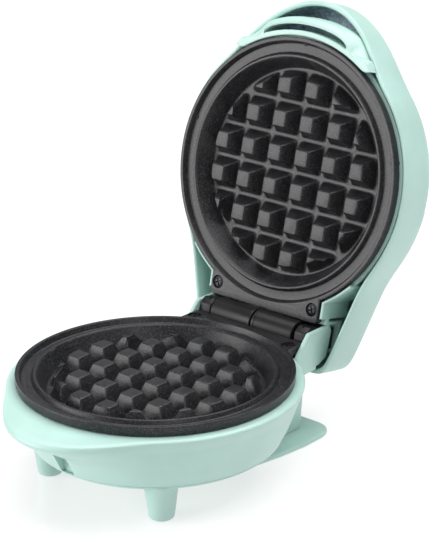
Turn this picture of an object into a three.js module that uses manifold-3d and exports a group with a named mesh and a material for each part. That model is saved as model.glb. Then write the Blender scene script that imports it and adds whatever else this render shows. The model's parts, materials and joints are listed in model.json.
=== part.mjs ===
// A mini waffle maker with its lid open: two cast waffle plates in a plastic base and lid, joined by one
// hinge. Millimetres, +Z up. Everything is drawn round the centre of the lower plate's rim, with the hinge
// towards +Y and the grips towards -Y, and the whole is moved at the end so that its origin is the bottom
// centre of its box. Lid pieces are drawn closed and then turned open about the hinge.
import * as THREE from "three";
import { mergeVertices } from "three/addons/utils/BufferGeometryUtils.js";
import Module from "manifold-3d";

const wasm = await Module();
wasm.setup();

// ---- Driving dimensions ----

// Hinge and stance
const FLOOR_Z = -49; // the surface the feet stand on, below the parting plane
const HINGE_Z = -0.4;
const BARREL_RADIUS = 6.6; // the hinge's two hollow barrels
const OPEN_ANGLE = 103.3; // degrees from closed to open
const PARTING_GAP = 0.5; // between the two plates' rims when closed
const GAP = 0.3; // clearance between touching pieces

// Waffle plates
const PLATE_RADIUS = 62;
const LIP_WIDTH = 1.8;
const BAND_DEPTH = 2.6;
const BAND_INNER_RADIUS = PLATE_RADIUS - 7.3;
const BEAD_RADIUS = BAND_INNER_RADIUS - 1.5; // crest of the bead round the cavity
const BEAD_DEPTH = 0.6;
const CAVITY_RADIUS = BEAD_RADIUS - 1;
const CAVITY_FLOOR_RADIUS = CAVITY_RADIUS - 3.9;
const CAVITY_DEPTH = 8.8;
const PLATE_WALL = 2.5;
const SKIRT_HEIGHT = 4.5;
const PEG_PITCH = 15.76;
const PEG_BASE = 13.4;
const PEG_TOP = 7.3;
const PEG_HEIGHT = 7.4;
const PEG_ROWS = 6;
const TONGUE_HALF_WIDTH = 31.8;
const TONGUE_REAR_Y = PLATE_RADIUS + 2.3;
const PLATE_SCREW_X = TONGUE_HALF_WIDTH - 3.8;
const PLATE_SCREW_Y = TONGUE_REAR_Y - 6;
const PLATE_SCREW_HEAD_RADIUS = 2.8;
const HINGE_Y = TONGUE_REAR_Y + BARREL_RADIUS + 0.2; // the hinge axis, behind the plates' tongues

// Base housing
const BASE_RADIUS = PLATE_RADIUS + 4;
const BASE_WALL = 2.2;
const BASE_TOP_Z = -SKIRT_HEIGHT - GAP;
const BASE_MOUTH_RADIUS = PLATE_RADIUS - 3.5; // the ledge that the lower plate's skirt rests on
const BASE_EDGE_Z = -CAVITY_DEPTH - PLATE_WALL - 19; // lower edge of the bowl, where the bottom cover starts
const GRIP_REACH = 13.3; // how far the grips stand out in front of the round outline
const GRIP_HALF_ANGLE = 45;
const EAR_INNER_X = TONGUE_HALF_WIDTH + 0.3;
const EAR_THICKNESS = 2.2;
const COLUMN_REAR_Y = HINGE_Y + 0.2;
const COLUMN_FRONT_Y = HINGE_Y - 19.1;
const COLUMN_TOP_HALF_WIDTH = TONGUE_HALF_WIDTH - 3.3;
const COLUMN_FOOT_HALF_WIDTH = COLUMN_TOP_HALF_WIDTH - 2.5;
const BAY_FLOOR_Z = HINGE_Z - BARREL_RADIUS - 5.6;
const BAY_FRONT_Y = PLATE_RADIUS - 6;
const NOTCH_HALF_WIDTH = 4;
const NOTCH_TOP_Z = -20;
const NOTCH_BACK_Y = 11.6 - BASE_RADIUS; // the notch's flat back

// Bottom cover, feet and the rear foot plate
const COVER_RADIUS = BASE_RADIUS - 10;
const COVER_BOTTOM_Z = BASE_EDGE_Z - 3.5;
const FOOT_X = 33.4;
const FOOT_Y = -34;
const FOOT_TOP_RADIUS = 7.6;
const FOOT_END_RADIUS = 5.4;
const PAD_RADIUS = 3.4;
const PAD_PROUD = 0.3;
const FOOT_PLATE_THICKNESS = 2.4;
const FOOT_PLATE_HALF_WIDTH = 37.6;
const FOOT_PLATE_FRONT_Y = COLUMN_FRONT_Y - 22;
const FOOT_PLATE_REAR_Y = COLUMN_REAR_Y + 10.3;
const FOOT_PLATE_CORNER = 10;

// Lid shell
const LID_RADIUS = PLATE_RADIUS + 3.2;
const LID_WALL = 2;
const LID_RIM_Z = 4.6;
const LID_SHOULDER_Z = CAVITY_DEPTH + PLATE_WALL + 18.7;
const LID_CROWN_Z = LID_SHOULDER_Z + 3;
const LID_EDGE_RADIUS = 8;
const HANDLE_REACH = 14.1;
const HANDLE_HALF_ANGLE = 47;
const HANDLE_ARCH = 6.4; // how much higher the rim runs over the handle
const HOOD_REAR_Y = HINGE_Y + BARREL_RADIUS + 10.3;
const HOOD_CORNER_HALF_WIDTH = TONGUE_HALF_WIDTH + 5.8; // outer half width of the hood at its rear wall
const HOOD_TAPER = 0.3; // how much the half width grows for each millimetre forward
const HOOD_BLEND = 1.6;

// Lid inner frame
const FRAME_INNER_RADIUS = PLATE_RADIUS + 0.7;
const FRAME_TOP_Z = 1.2; // edge of the frame's lips, nearest the parting plane
const FRAME_WALL = 1.5;
const FRAME_LEDGE_THICKNESS = 2.6;
const FRAME_LEDGE_INNER_RADIUS = PLATE_RADIUS - 4.5;
const FRAME_DEPTH_Z = 21;
const CRESCENT_TIP_ANGLE = 36.3; // the crescent's outermost point, from straight ahead
const CRESCENT_ROOT_ANGLE = 31; // where its ends start to turn outward over the shell's rim
const CRESCENT_END_WIDTH = 2.7; // width of the crescent's face towards its tips
const CRESCENT_FACE_WIDTH = 6.7; // width of the face in the middle
const CRESCENT_WALL_REACH = 8.7; // how far its wall stands out behind the face
const CRESCENT_LIP_THICKNESS = 3; // from the face to the underside that lies over the shell's rim
const CRESCENT_DEPTH_Z = 10.5; // where the wall behind the face ends
const SLOT_HALF_ANGLE = 21;
const SLOT_INNER_RADIUS = FRAME_INNER_RADIUS + 2.4;
const SLOT_WIDTH = 2.9;
const PANEL_REAR_Y = TONGUE_REAR_Y - 2.7;

// Hinge parts
const BARREL_BORE_RADIUS = 4.2;
const BARREL_HALF_LENGTH = TONGUE_HALF_WIDTH - 7.8;
const BARREL_SPLIT = 0.8;
const ARM_INNER_X = BARREL_HALF_LENGTH + 1;
const PIN_RADIUS = 2;
const PIN_CLEARANCE = 0.1;
const PIN_COVER = 0.8; // wall left outside the blind pin holes in the ears

// Heating parts
const HEATER_RING_RADIUS = 34;
const HEATER_TUBE_RADIUS = 3.2;
const SHIELD_THICKNESS = 0.8;
const THERMOSTAT_RADIUS = 7.5;

// Indicator lights in the lid
const LENS_X = 6;
const LENS_Y = -34;
const LENS_RADIUS = 3;

// Facets round a full turn
const TURN_STEPS = 4 * Math.round(PLATE_RADIUS / 4) - 4; // facets stay about 6.5 mm long
const SMALL_STEPS = 16;

// ---- Geometry helpers ----

const radians = THREE.MathUtils.degToRad;
const bump = (share) => (share < 1 ? Math.cos((share * Math.PI) / 2) ** 2 : 0);

// A closed three.js geometry as a solid for joining and cutting.
function solid(geometry) {
  const bare = geometry.clone();
  bare.deleteAttribute("normal");
  bare.deleteAttribute("uv");
  const merged = mergeVertices(bare, 1e-4);
  const made = new wasm.Manifold(
    new wasm.Mesh({
      numProp: 3,
      vertProperties: merged.attributes.position.array,
      triVerts: new Uint32Array(merged.index.array),
    }),
  );
  return made;
}

// The geometry of a solid, for a mesh.
function geometryOf(body) {
  const mesh = body.getMesh();
  return new THREE.BufferGeometry()
    .setAttribute("position", new THREE.BufferAttribute(mesh.vertProperties, 3))
    .setIndex(new THREE.BufferAttribute(mesh.triVerts, 1));
}

const join = (first, ...rest) => rest.reduce((body, next) => body.add(next), first);
const cut = (first, ...rest) => rest.reduce((body, next) => body.subtract(next), first);

function boxBetween(x0, x1, y0, y1, z0, z1) {
  const box = new THREE.BoxGeometry(x1 - x0, y1 - y0, z1 - z0);
  return solid(box.translate((x0 + x1) / 2, (y0 + y1) / 2, (z0 + z1) / 2));
}

// A solid of revolution about Z from a closed profile of [radius, z] pairs, in either direction round.
function revolve(profile, steps = TURN_STEPS) {
  const points = profile.map(([r, z]) => new THREE.Vector2(r, z));
  if (THREE.ShapeUtils.area(points) < 0) points.reverse();
  points.push(points[0].clone());
  return solid(new THREE.LatheGeometry(points, steps).rotateX(Math.PI / 2));
}

const discBetween = (radius, z0, z1, steps = SMALL_STEPS) =>
  revolve([[0, z0], [radius, z0], [radius, z1], [0, z1]], steps);

// A cylinder about the X axis between two stations.
const rodAlongX = (radius, x0, x1, y, z, steps = 24) =>
  solid(new THREE.CylinderGeometry(radius, radius, x1 - x0, steps).rotateZ(-Math.PI / 2)
    .translate((x0 + x1) / 2, y, z));

// An outline in plan, extruded from z0 to z1.
function extrudeUp(shape, z0, z1, curveSegments = 12) {
  const options = { depth: z1 - z0, bevelEnabled: false, curveSegments };
  return solid(new THREE.ExtrudeGeometry(shape, options).translate(0, 0, z0));
}

// An outline of [y, z] pairs, extruded along X from x0 to x1.
function extrudeAcross(outline, x0, x1) {
  const shape = new THREE.Shape(outline.map(([y, z]) => new THREE.Vector2(y, z)));
  const options = { depth: x1 - x0, bevelEnabled: false };
  const geometry = new THREE.ExtrudeGeometry(shape, options);
  geometry.applyMatrix4(new THREE.Matrix4().set(0, 0, 1, x0, 1, 0, 0, 0, 0, 1, 0, 0, 0, 0, 0, 1));
  return solid(geometry);
}

// A closed skin over a stack of rings of equal count. The first and last rings close to their own centres.
function loft(rings) {
  const count = rings[0].length;
  const centre = (ring) => ring.reduce((sum, p) => sum.add(p), new THREE.Vector3()).divideScalar(count);
  const points = [centre(rings[0]), ...rings.flat(), centre(rings[rings.length - 1])];
  const last = points.length - 1;
  const index = [];
  for (let j = 0; j < count; j++) {
    const k = (j + 1) % count;
    index.push(0, 1 + k, 1 + j);
    for (let i = 0; i < rings.length - 1; i++) {
      const low = 1 + i * count;
      const high = low + count;
      index.push(low + j, low + k, high + k, low + j, high + k, high + j);
    }
    index.push(last, last - count + j, last - count + k);
  }
  const geometry = new THREE.BufferGeometry().setFromPoints(points);
  return solid(geometry.setIndex(index));
}

// A ring of points: radius and height as functions of the angle in degrees.
function ring(radiusAt, heightAt, steps = TURN_STEPS) {
  return Array.from({ length: steps }, (_, j) => {
    const angle = (360 * j) / steps;
    const r = radiusAt(angle);
    return new THREE.Vector3(r * Math.cos(radians(angle)), r * Math.sin(radians(angle)), heightAt(angle));
  });
}

// A tapered block between two rectangles [x0, x1, y0, y1] at heights z0 and z1.
function taperedBlock([ax0, ax1, ay0, ay1], z0, [bx0, bx1, by0, by1], z1) {
  const corners = (x0, x1, y0, y1, z) =>
    [[x0, y0], [x1, y0], [x1, y1], [x0, y1]].map(([x, y]) => new THREE.Vector3(x, y, z));
  return loft([corners(ax0, ax1, ay0, ay1, z0), corners(bx0, bx1, by0, by1, z1)]);
}

// A round tube of the given radius along a curve.
function tubeAlong(curve, radius, steps, sides = 8) {
  const section = new THREE.Shape(Array.from({ length: sides }, (_, i) => {
    const a = (2 * Math.PI * i) / sides;
    return new THREE.Vector2(radius * Math.cos(a), radius * Math.sin(a));
  }));
  return solid(new THREE.ExtrudeGeometry(section, { steps, extrudePath: curve, bevelEnabled: false }));
}

const arcPoints = (radius, fromDegrees, toDegrees, steps) =>
  Array.from({ length: steps + 1 }, (_, i) => {
    const a = radians(fromDegrees + ((toDegrees - fromDegrees) * i) / steps);
    return new THREE.Vector2(radius * Math.cos(a), radius * Math.sin(a));
  });

// ---- Outlines shared by base and lid ----

// How far an angle is from straight ahead (-Y), in degrees.
const fromFront = (angle) => Math.abs(((angle - 270 + 540) % 360) - 180);

// The bowl's radius, with the grip standing out by a share of its reach.
const gripOutline = (radius, share) => (angle) =>
  radius + GRIP_REACH * share * bump(fromFront(angle) / GRIP_HALF_ANGLE);

const handleShare = (angle) => bump(fromFront(angle) / HANDLE_HALF_ANGLE);
const rimHeight = (angle) => LID_RIM_Z + HANDLE_ARCH * handleShare(angle);

// The lid's outline pulled in by an inset: the round lid with its handle, blended with the tapered hood.
const lidOutline = (inset) => (angle) => {
  const round = LID_RADIUS - inset + HANDLE_REACH * handleShare(angle);
  const across = Math.abs(Math.cos(radians(angle)));
  const back = Math.sin(radians(angle));
  if (back < 0.1) return round;
  const slant = Math.hypot(1, HOOD_TAPER);
  const sideOffset = HOOD_CORNER_HALF_WIDTH + HOOD_TAPER * HOOD_REAR_Y - inset * slant;
  const side = sideOffset / (across + HOOD_TAPER * back);
  const rear = (HOOD_REAR_Y - inset) / back;
  const hood = -HOOD_BLEND * 2 * Math.log(Math.exp(-side / (HOOD_BLEND * 2)) + Math.exp(-rear / (HOOD_BLEND * 2)));
  return HOOD_BLEND * Math.log(Math.exp(round / HOOD_BLEND) + Math.exp(hood / HOOD_BLEND));
};

// ---- Waffle plate, drawn with its face up and its rim at z = 0 ----

function platePegs() {
  const half = PEG_ROWS / 2;
  const floorZ = -CAVITY_DEPTH;
  const pegs = [];
  for (let i = -half; i < half; i++) {
    for (let j = -half; j < half; j++) {
      const x = (i + 0.5) * PEG_PITCH;
      const y = (j + 0.5) * PEG_PITCH;
      if (Math.hypot(x, y) > CAVITY_FLOOR_RADIUS) continue;
      const square = (size) => [x - size / 2, x + size / 2, y - size / 2, y + size / 2];
      pegs.push(taperedBlock(square(PEG_BASE + 0.5), floorZ - 0.5, square(PEG_TOP), floorZ + PEG_HEIGHT));
    }
  }
  const cavity = discBetween(CAVITY_FLOOR_RADIUS - 1.6, floorZ - 1, 0, TURN_STEPS);
  return join(...pegs).intersect(cavity);
}

function plateTongue() {
  const reach = PLATE_RADIUS - LIP_WIDTH / 2;
  const corner = Math.sqrt(reach ** 2 - TONGUE_HALF_WIDTH ** 2);
  const side = (Math.atan2(corner, TONGUE_HALF_WIDTH) * 180) / Math.PI;
  const front = arcPoints(reach, side, 180 - side, 14);
  const outline = [
    new THREE.Vector2(TONGUE_HALF_WIDTH, TONGUE_REAR_Y),
    ...front,
    new THREE.Vector2(-TONGUE_HALF_WIDTH, TONGUE_REAR_Y),
  ];
  return extrudeUp(new THREE.Shape(outline.reverse()), -SKIRT_HEIGHT, 0);
}

function wafflePlate() {
  const underZ = -CAVITY_DEPTH - PLATE_WALL;
  const dish = revolve([
    [0, -CAVITY_DEPTH],
    [CAVITY_FLOOR_RADIUS, -CAVITY_DEPTH],
    [CAVITY_RADIUS, -BEAD_DEPTH - 0.4],
    [BEAD_RADIUS - 0.5, -BEAD_DEPTH],
    [BEAD_RADIUS + 0.6, -BEAD_DEPTH],
    [BAND_INNER_RADIUS, -BAND_DEPTH],
    [PLATE_RADIUS - LIP_WIDTH - 0.9, -BAND_DEPTH],
    [PLATE_RADIUS - LIP_WIDTH, -0.3],
    [PLATE_RADIUS - LIP_WIDTH + 0.3, 0],
    [PLATE_RADIUS - 0.4, 0],
    [PLATE_RADIUS, -0.5],
    [PLATE_RADIUS - 0.3, -SKIRT_HEIGHT],
    [CAVITY_RADIUS + PLATE_WALL + 1.6, -SKIRT_HEIGHT],
    [CAVITY_FLOOR_RADIUS + PLATE_WALL, underZ],
    [0, underZ],
  ]);
  const holes = [-1, 1].map((side) =>
    discBetween(PLATE_SCREW_HEAD_RADIUS + GAP, -1.8, 1)
      .add(discBetween(1.6 + GAP, -SKIRT_HEIGHT - 1, 1))
      .translate([side * PLATE_SCREW_X, PLATE_SCREW_Y, 0]));
  return cut(join(dish, plateTongue(), platePegs()), ...holes);
}

// A cross-head screw with its head's flat top at z = 0 and its shank going down.
function crossScrew(headRadius, headHeight, shankRadius, length) {
  const body = revolve([
    [0, 0],
    [headRadius - 0.4, 0],
    [headRadius, -0.4],
    [headRadius, -headHeight],
    [shankRadius, -headHeight],
    [shankRadius, -length],
    [0, -length - 0.8],
  ], 12);
  const slot = headRadius * 0.7;
  return cut(body,
    boxBetween(-slot, slot, -0.4, 0.4, -0.8, 1),
    boxBetween(-0.4, 0.4, -slot, slot, -0.8, 1));
}

// ---- Base ----

// Levels of the bowl's outer skin from its top edge down: height, radius, share of the grip.
const BOWL_LEVELS = [
  [BASE_TOP_Z, BASE_RADIUS - 1.2, 0.8],
  [-6, BASE_RADIUS, 0.93],
  [-8.5, BASE_RADIUS - 0.8, 1.06],
  [-11, BASE_RADIUS - 1.9, 1],
  [-14, BASE_RADIUS - 2.9, 0.68],
  [-17.5, BASE_RADIUS - 4.1, 0.32],
  [-21, BASE_RADIUS - 5.4, 0.07],
  [-25, BASE_RADIUS - 7, 0],
  [BASE_EDGE_Z, BASE_RADIUS - 9.6, 0],
];

// The grip's top droops a little towards its tip.
const droop = (z, share) => (angle) =>
  z - 1.3 * bump(fromFront(angle) / GRIP_HALF_ANGLE) * Math.min(1, share) * (z > -7 ? 1 : 0);

function bowlSkin() {
  const levels = [...BOWL_LEVELS].reverse();
  return loft(levels.map(([z, r, share]) => ring(gripOutline(r, share), droop(z, share))));
}

function bowlHollow() {
  const wall = BASE_WALL;
  const inner = BOWL_LEVELS.filter(([z]) => z < -8).map(([z, r, share]) =>
    ring(gripOutline(r - wall, Math.max(0, share - 0.12)), () => z));
  const under = ring(gripOutline(BASE_RADIUS - wall - 1, 0.7), () => BASE_TOP_Z - wall - 1.2);
  const mouth = (z) => ring(() => BASE_MOUTH_RADIUS, () => z);
  const lowest = BOWL_LEVELS[BOWL_LEVELS.length - 1];
  const below = ring(() => lowest[1] - wall, () => BASE_EDGE_Z - 2);
  return loft([below, ...inner.reverse(), under, mouth(BASE_TOP_Z - wall - 1.2), mouth(BASE_TOP_Z + 3)]);
}

function ear(side) {
  const top = HINGE_Z + 4.6;
  const outline = [
    [BAY_FRONT_Y + 1, BAY_FLOOR_Z - 0.6],
    [BAY_FRONT_Y + 1, HINGE_Z - 4.6],
    [HINGE_Y - 5.3, top - 0.4],
    [HINGE_Y - 4.3, top],
    [HINGE_Y + 7.5, top],
    [HINGE_Y + 10.3, top - 1],
    [HINGE_Y + 11.2, top - 3.4],
    [HINGE_Y + 8.9, HINGE_Z - 8.2],
    [HINGE_Y + 7.1, HINGE_Z - 10.4],
    [HINGE_Y + 4.3, BAY_FLOOR_Z + 0.2],
    [COLUMN_REAR_Y, BAY_FLOOR_Z - 0.6],
  ];
  const x0 = side > 0 ? EAR_INNER_X : -EAR_INNER_X - EAR_THICKNESS;
  return extrudeAcross(outline, x0, x0 + EAR_THICKNESS);
}

const columnBlock = (inset, z0, z1) => taperedBlock(
  [inset - COLUMN_FOOT_HALF_WIDTH, COLUMN_FOOT_HALF_WIDTH - inset, COLUMN_FRONT_Y + inset, COLUMN_REAR_Y - inset],
  z0,
  [inset - COLUMN_TOP_HALF_WIDTH, COLUMN_TOP_HALF_WIDTH - inset, COLUMN_FRONT_Y + inset, COLUMN_REAR_Y - inset],
  z1);

const FOOT_PLATE_TOP_Z = FLOOR_Z + PAD_PROUD + FOOT_PLATE_THICKNESS;
const EAR_OUTER_X = EAR_INNER_X + EAR_THICKNESS;
const GLAND_Z = -37;
const GLAND_RADIUS = 5;

function baseHousing() {
  const column = columnBlock(0, FOOT_PLATE_TOP_Z + GAP, BAY_FLOOR_Z - 0.1);
  const columnHollow = columnBlock(BASE_WALL, FOOT_PLATE_TOP_Z - 2, BAY_FLOOR_Z - BASE_WALL);
  const bayFloor = boxBetween(-EAR_OUTER_X, EAR_OUTER_X, COLUMN_FRONT_Y - 2, COLUMN_REAR_Y, BAY_FLOOR_Z - BASE_WALL, BAY_FLOOR_Z);
  const bay = boxBetween(-EAR_INNER_X, EAR_INNER_X, BAY_FRONT_Y, HINGE_Y + 19, BAY_FLOOR_Z, HINGE_Z + 10.4);
  const notch = boxBetween(-NOTCH_HALF_WIDTH, NOTCH_HALF_WIDTH, -BASE_RADIUS - 4, NOTCH_BACK_Y,
    BASE_EDGE_Z - 1, NOTCH_TOP_Z);
  const notchBack = boxBetween(-NOTCH_HALF_WIDTH - 1.6, NOTCH_HALF_WIDTH + 1.6, -BASE_RADIUS + 4,
    NOTCH_BACK_Y + 1.8, BASE_EDGE_Z, NOTCH_TOP_Z + 1.8).intersect(bowlSkin());
  const gland = solid(new THREE.CylinderGeometry(GLAND_RADIUS + GAP, GLAND_RADIUS + GAP, 8, SMALL_STEPS)
    .translate(0, COLUMN_REAR_Y, GLAND_Z));
  const outer = join(bowlSkin(), bayFloor, column, ear(-1), ear(1));
  const opened = cut(outer, bay, bowlHollow(), columnHollow, gland);
  return cut(join(opened, notchBack), notch);
}

function bottomCover() {
  const wall = BASE_WALL;
  const topZ = BASE_EDGE_Z - GAP;
  const dish = revolve([
    [0, COVER_BOTTOM_Z],
    [COVER_RADIUS - 6, COVER_BOTTOM_Z],
    [COVER_RADIUS - 2.4, COVER_BOTTOM_Z + 1],
    [COVER_RADIUS - 0.4, topZ - 0.6],
    [COVER_RADIUS, topZ],
    [COVER_RADIUS - wall - 2, topZ],
    [COVER_RADIUS - 6.5, COVER_BOTTOM_Z + wall],
    [0, COVER_BOTTOM_Z + wall],
  ]);
  const endZ = FLOOR_Z + PAD_PROUD;
  const leg = revolve([
    [0, COVER_BOTTOM_Z + wall],
    [FOOT_TOP_RADIUS, COVER_BOTTOM_Z + wall],
    [FOOT_END_RADIUS + 0.15, endZ + 1.8],
    [FOOT_END_RADIUS - 0.6, endZ + 0.5],
    [FOOT_END_RADIUS - 1.6, endZ],
    [0, endZ],
  ], 24);
  const hollow = revolve([
    [0, COVER_BOTTOM_Z + wall + 1],
    [FOOT_TOP_RADIUS - wall, COVER_BOTTOM_Z + wall + 1],
    [FOOT_END_RADIUS - wall, endZ + 4],
    [0, endZ + 4],
  ], SMALL_STEPS);
  const padSeat = discBetween(PAD_RADIUS + GAP, endZ - 1, endZ + 1.2);
  const sides = [-1, 1];
  const legs = sides.map((s) => leg.translate([s * FOOT_X, FOOT_Y, 0]));
  const hollows = sides.map((s) => hollow.add(padSeat).translate([s * FOOT_X, FOOT_Y, 0]));
  const clearance = columnBlock(-GAP - 0.1, FOOT_PLATE_TOP_Z, BAY_FLOOR_Z);
  const screwHoles = COVER_SCREW_PLACES.map(([x, y]) =>
    discBetween(1.5 + GAP, COVER_BOTTOM_Z - 1, COVER_BOTTOM_Z + 4)
      .add(discBetween(3 + GAP, COVER_BOTTOM_Z - 1, COVER_BOTTOM_Z + 1)).translate([x, y, 0]));
  return cut(join(dish, ...legs), ...hollows, clearance, ...screwHoles);
}

const COVER_SCREW_PLACES = [[0, -44], [-42, 10], [42, 10]];
const FOOT_PLATE_SCREW_PLACES = [-1, 1].map((side) => [side * (COLUMN_FOOT_HALF_WIDTH - 8), COLUMN_FRONT_Y + 10]);
const REAR_PAD_PLACES = [-1, 1].map((side) => [side * (FOOT_PLATE_HALF_WIDTH - 8.6), FOOT_PLATE_REAR_Y - 9.6]);

function rearFootPlate() {
  const w = FOOT_PLATE_HALF_WIDTH;
  const r = FOOT_PLATE_CORNER;
  const shape = new THREE.Shape();
  shape.moveTo(-w + 6, FOOT_PLATE_FRONT_Y);
  shape.lineTo(w - 6, FOOT_PLATE_FRONT_Y);
  shape.quadraticCurveTo(w, COLUMN_FRONT_Y - 2, w, FOOT_PLATE_REAR_Y - r);
  shape.absarc(w - r, FOOT_PLATE_REAR_Y - r, r, 0, Math.PI / 2, false);
  shape.absarc(-w + r, FOOT_PLATE_REAR_Y - r, r, Math.PI / 2, Math.PI, false);
  shape.quadraticCurveTo(-w, COLUMN_FRONT_Y - 2, -w + 6, FOOT_PLATE_FRONT_Y);
  const bottomZ = FLOOR_Z + PAD_PROUD;
  const plate = extrudeUp(shape, bottomZ, FOOT_PLATE_TOP_Z, 8);
  const seats = REAR_PAD_PLACES.map(([x, y]) =>
    discBetween(PAD_RADIUS + GAP, bottomZ - 1, bottomZ + 1.2).translate([x, y, 0]));
  const holes = FOOT_PLATE_SCREW_PLACES.map(([x, y]) =>
    discBetween(1.5 + GAP, bottomZ - 1, FOOT_PLATE_TOP_Z + 1)
      .add(discBetween(3 + GAP, bottomZ - 1, bottomZ + 1.2)).translate([x, y, 0]));
  return cut(plate, ...seats, ...holes);
}

const rubberPad = () => discBetween(PAD_RADIUS, FLOOR_Z, FLOOR_Z + 1.2);

// ---- Heating parts, drawn under a plate whose rim is at z = 0 ----

const PLATE_UNDER_Z = -CAVITY_DEPTH - PLATE_WALL;

function heatingElement() {
  const z = PLATE_UNDER_Z - GAP - HEATER_TUBE_RADIUS;
  const start = radians(90 + 22);
  const sweep = radians(360 - 44);
  const points = Array.from({ length: 25 }, (_, i) => {
    const a = start + (sweep * i) / 24;
    return new THREE.Vector3(HEATER_RING_RADIUS * Math.cos(a), HEATER_RING_RADIUS * Math.sin(a), z);
  });
  const x = points[0].x;
  points.unshift(new THREE.Vector3(x, points[0].y + 9, z));
  points.push(new THREE.Vector3(-x, points[0].y, z));
  return tubeAlong(new THREE.CatmullRomCurve3(points), HEATER_TUBE_RADIUS, 36);
}

function heatShield() {
  const floorZ = PLATE_UNDER_Z - 2 * HEATER_TUBE_RADIUS - 1.6;
  const rimZ = PLATE_UNDER_Z + 0.6;
  const t = SHIELD_THICKNESS;
  const hole = THERMOSTAT_RADIUS + 1.5;
  return revolve([
    [hole, floorZ],
    [CAVITY_RADIUS - 6.2, floorZ],
    [CAVITY_RADIUS + 1.2, rimZ - t],
    [CAVITY_RADIUS + 3.4, rimZ - t],
    [CAVITY_RADIUS + 3.4, rimZ],
    [CAVITY_RADIUS + 0.8, rimZ],
    [CAVITY_RADIUS - 6.6, floorZ + t],
    [hole, floorZ + t],
  ], 48);
}

function thermostat() {
  const top = PLATE_UNDER_Z - GAP;
  const body = revolve([
    [0, top],
    [THERMOSTAT_RADIUS, top],
    [THERMOSTAT_RADIUS, top - 3.5],
    [THERMOSTAT_RADIUS - 1, top - 3.5],
    [THERMOSTAT_RADIUS - 1, top - 8],
    [0, top - 8],
  ], 20);
  const blades = [-1, 1].map((s) => boxBetween(s * 4 - 0.4, s * 4 + 0.4, -2, 2, top - 13, top - 7));
  return join(body, ...blades);
}

function thermalFuse() {
  const z = PLATE_UNDER_Z - 2 * HEATER_TUBE_RADIUS + 2.4;
  const can = rodAlongX(2.1, -6, 6, 0, 0, 12);
  const leads = rodAlongX(0.5, -12, 12, 0, 0, 8);
  return join(can, leads).translate([0, 20, z]);
}

function terminalBlock() {
  const block = boxBetween(-13, 13, 30, 42, COVER_BOTTOM_Z + BASE_WALL + GAP, COVER_BOTTOM_Z + BASE_WALL + 7);
  const wells = [-8.5, 0, 8.5].map((x) =>
    discBetween(1.8, -5, 5, 10).translate([x, 36, COVER_BOTTOM_Z + BASE_WALL + 9]));
  return cut(block, ...wells);
}

function wireLoom(points, steps) {
  const curve = new THREE.CatmullRomCurve3(points.map((p) => new THREE.Vector3(...p)));
  return tubeAlong(curve, 1.8, steps);
}

function cordGland() {
  const y = COLUMN_REAR_Y;
  const sleeve = revolve([[0, 2.6], [7, 2.6], [7, 1.2], [6.4, GAP], [0, GAP]], 20)
    .add(discBetween(GLAND_RADIUS, -4.5, 1, 20));
  const bored = cut(sleeve, discBetween(3.4, -6, 6, 12));
  return bored.rotate([-90, 0, 0]).translate([0, y, GLAND_Z]);
}

// ---- Hinge ----

// The black liner of the bay between the ears, with the left half of the wire barrel's saddle beside it.
function bayCover() {
  const z = BAY_FLOOR_Z + GAP;
  const floor = boxBetween(-EAR_INNER_X + GAP, EAR_INNER_X - GAP, BAY_FRONT_Y + 2.2, COLUMN_REAR_Y, z, z + 1.4);
  const front = boxBetween(-EAR_INNER_X + GAP, EAR_INNER_X - GAP, TONGUE_REAR_Y - 2.7, TONGUE_REAR_Y - 1.3, z,
    -SKIRT_HEIGHT - GAP);
  return join(floor, front);
}

function wireBarrel(side) {
  const x0 = side < 0 ? -BARREL_HALF_LENGTH : BARREL_SPLIT / 2;
  const x1 = x0 + BARREL_HALF_LENGTH - BARREL_SPLIT / 2;
  const tube = rodAlongX(BARREL_RADIUS, x0, x1, HINGE_Y, HINGE_Z);
  const bore = rodAlongX(BARREL_BORE_RADIUS, x0 - 1, x1 + 1, HINGE_Y, HINGE_Z, SMALL_STEPS);
  const inset = 4;
  const web = side < 0
    ? boxBetween(x0 + inset, x1 - inset, HINGE_Y - 4.6, HINGE_Y + 4.6, BAY_FLOOR_Z + 2 * GAP + 1.4, HINGE_Z)
    : boxBetween(x0 + inset, x1 - inset, HINGE_Y - 4.6, HINGE_Y + 4.6, HINGE_Z, SHELF_Z - GAP);
  return cut(join(tube, web), bore);
}

const SHELF_Z = HINGE_Z + BARREL_RADIUS + 9.8;

function hingeArm(side) {
  const x0 = side < 0 ? -EAR_INNER_X + GAP : ARM_INNER_X;
  const x1 = x0 + EAR_INNER_X - GAP - ARM_INNER_X;
  const outline = [
    [HINGE_Y - BARREL_RADIUS + 1, HINGE_Z - 3.4],
    [HINGE_Y - 3, HINGE_Z - BARREL_RADIUS + 0.6],
    [HINGE_Y + 3, HINGE_Z - BARREL_RADIUS + 0.6],
    [HINGE_Y + BARREL_RADIUS - 0.6, HINGE_Z - 3],
    [HINGE_Y + BARREL_RADIUS - 0.6, SHELF_Z - GAP],
    [HINGE_Y - BARREL_RADIUS + 2.2, SHELF_Z - GAP],
    [HINGE_Y - BARREL_RADIUS + 1, HINGE_Z + 5],
  ];
  const bore = rodAlongX(PIN_RADIUS + PIN_CLEARANCE, x0 - 1, x1 + 1, HINGE_Y, HINGE_Z, SMALL_STEPS);
  return cut(extrudeAcross(outline, x0, x1), bore);
}

function hingePin(side) {
  const inner = ARM_INNER_X - 0.6;
  const outer = EAR_OUTER_X - PIN_COVER - GAP;
  const shank = rodAlongX(PIN_RADIUS, inner, outer, HINGE_Y, HINGE_Z, SMALL_STEPS);
  return side > 0 ? shank : shank.mirror([1, 0, 0]);
}

const pinHoles = () => rodAlongX(PIN_RADIUS + PIN_CLEARANCE, PIN_COVER - EAR_OUTER_X, EAR_OUTER_X - PIN_COVER,
  HINGE_Y, HINGE_Z, SMALL_STEPS);

// ---- Lid ----

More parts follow.
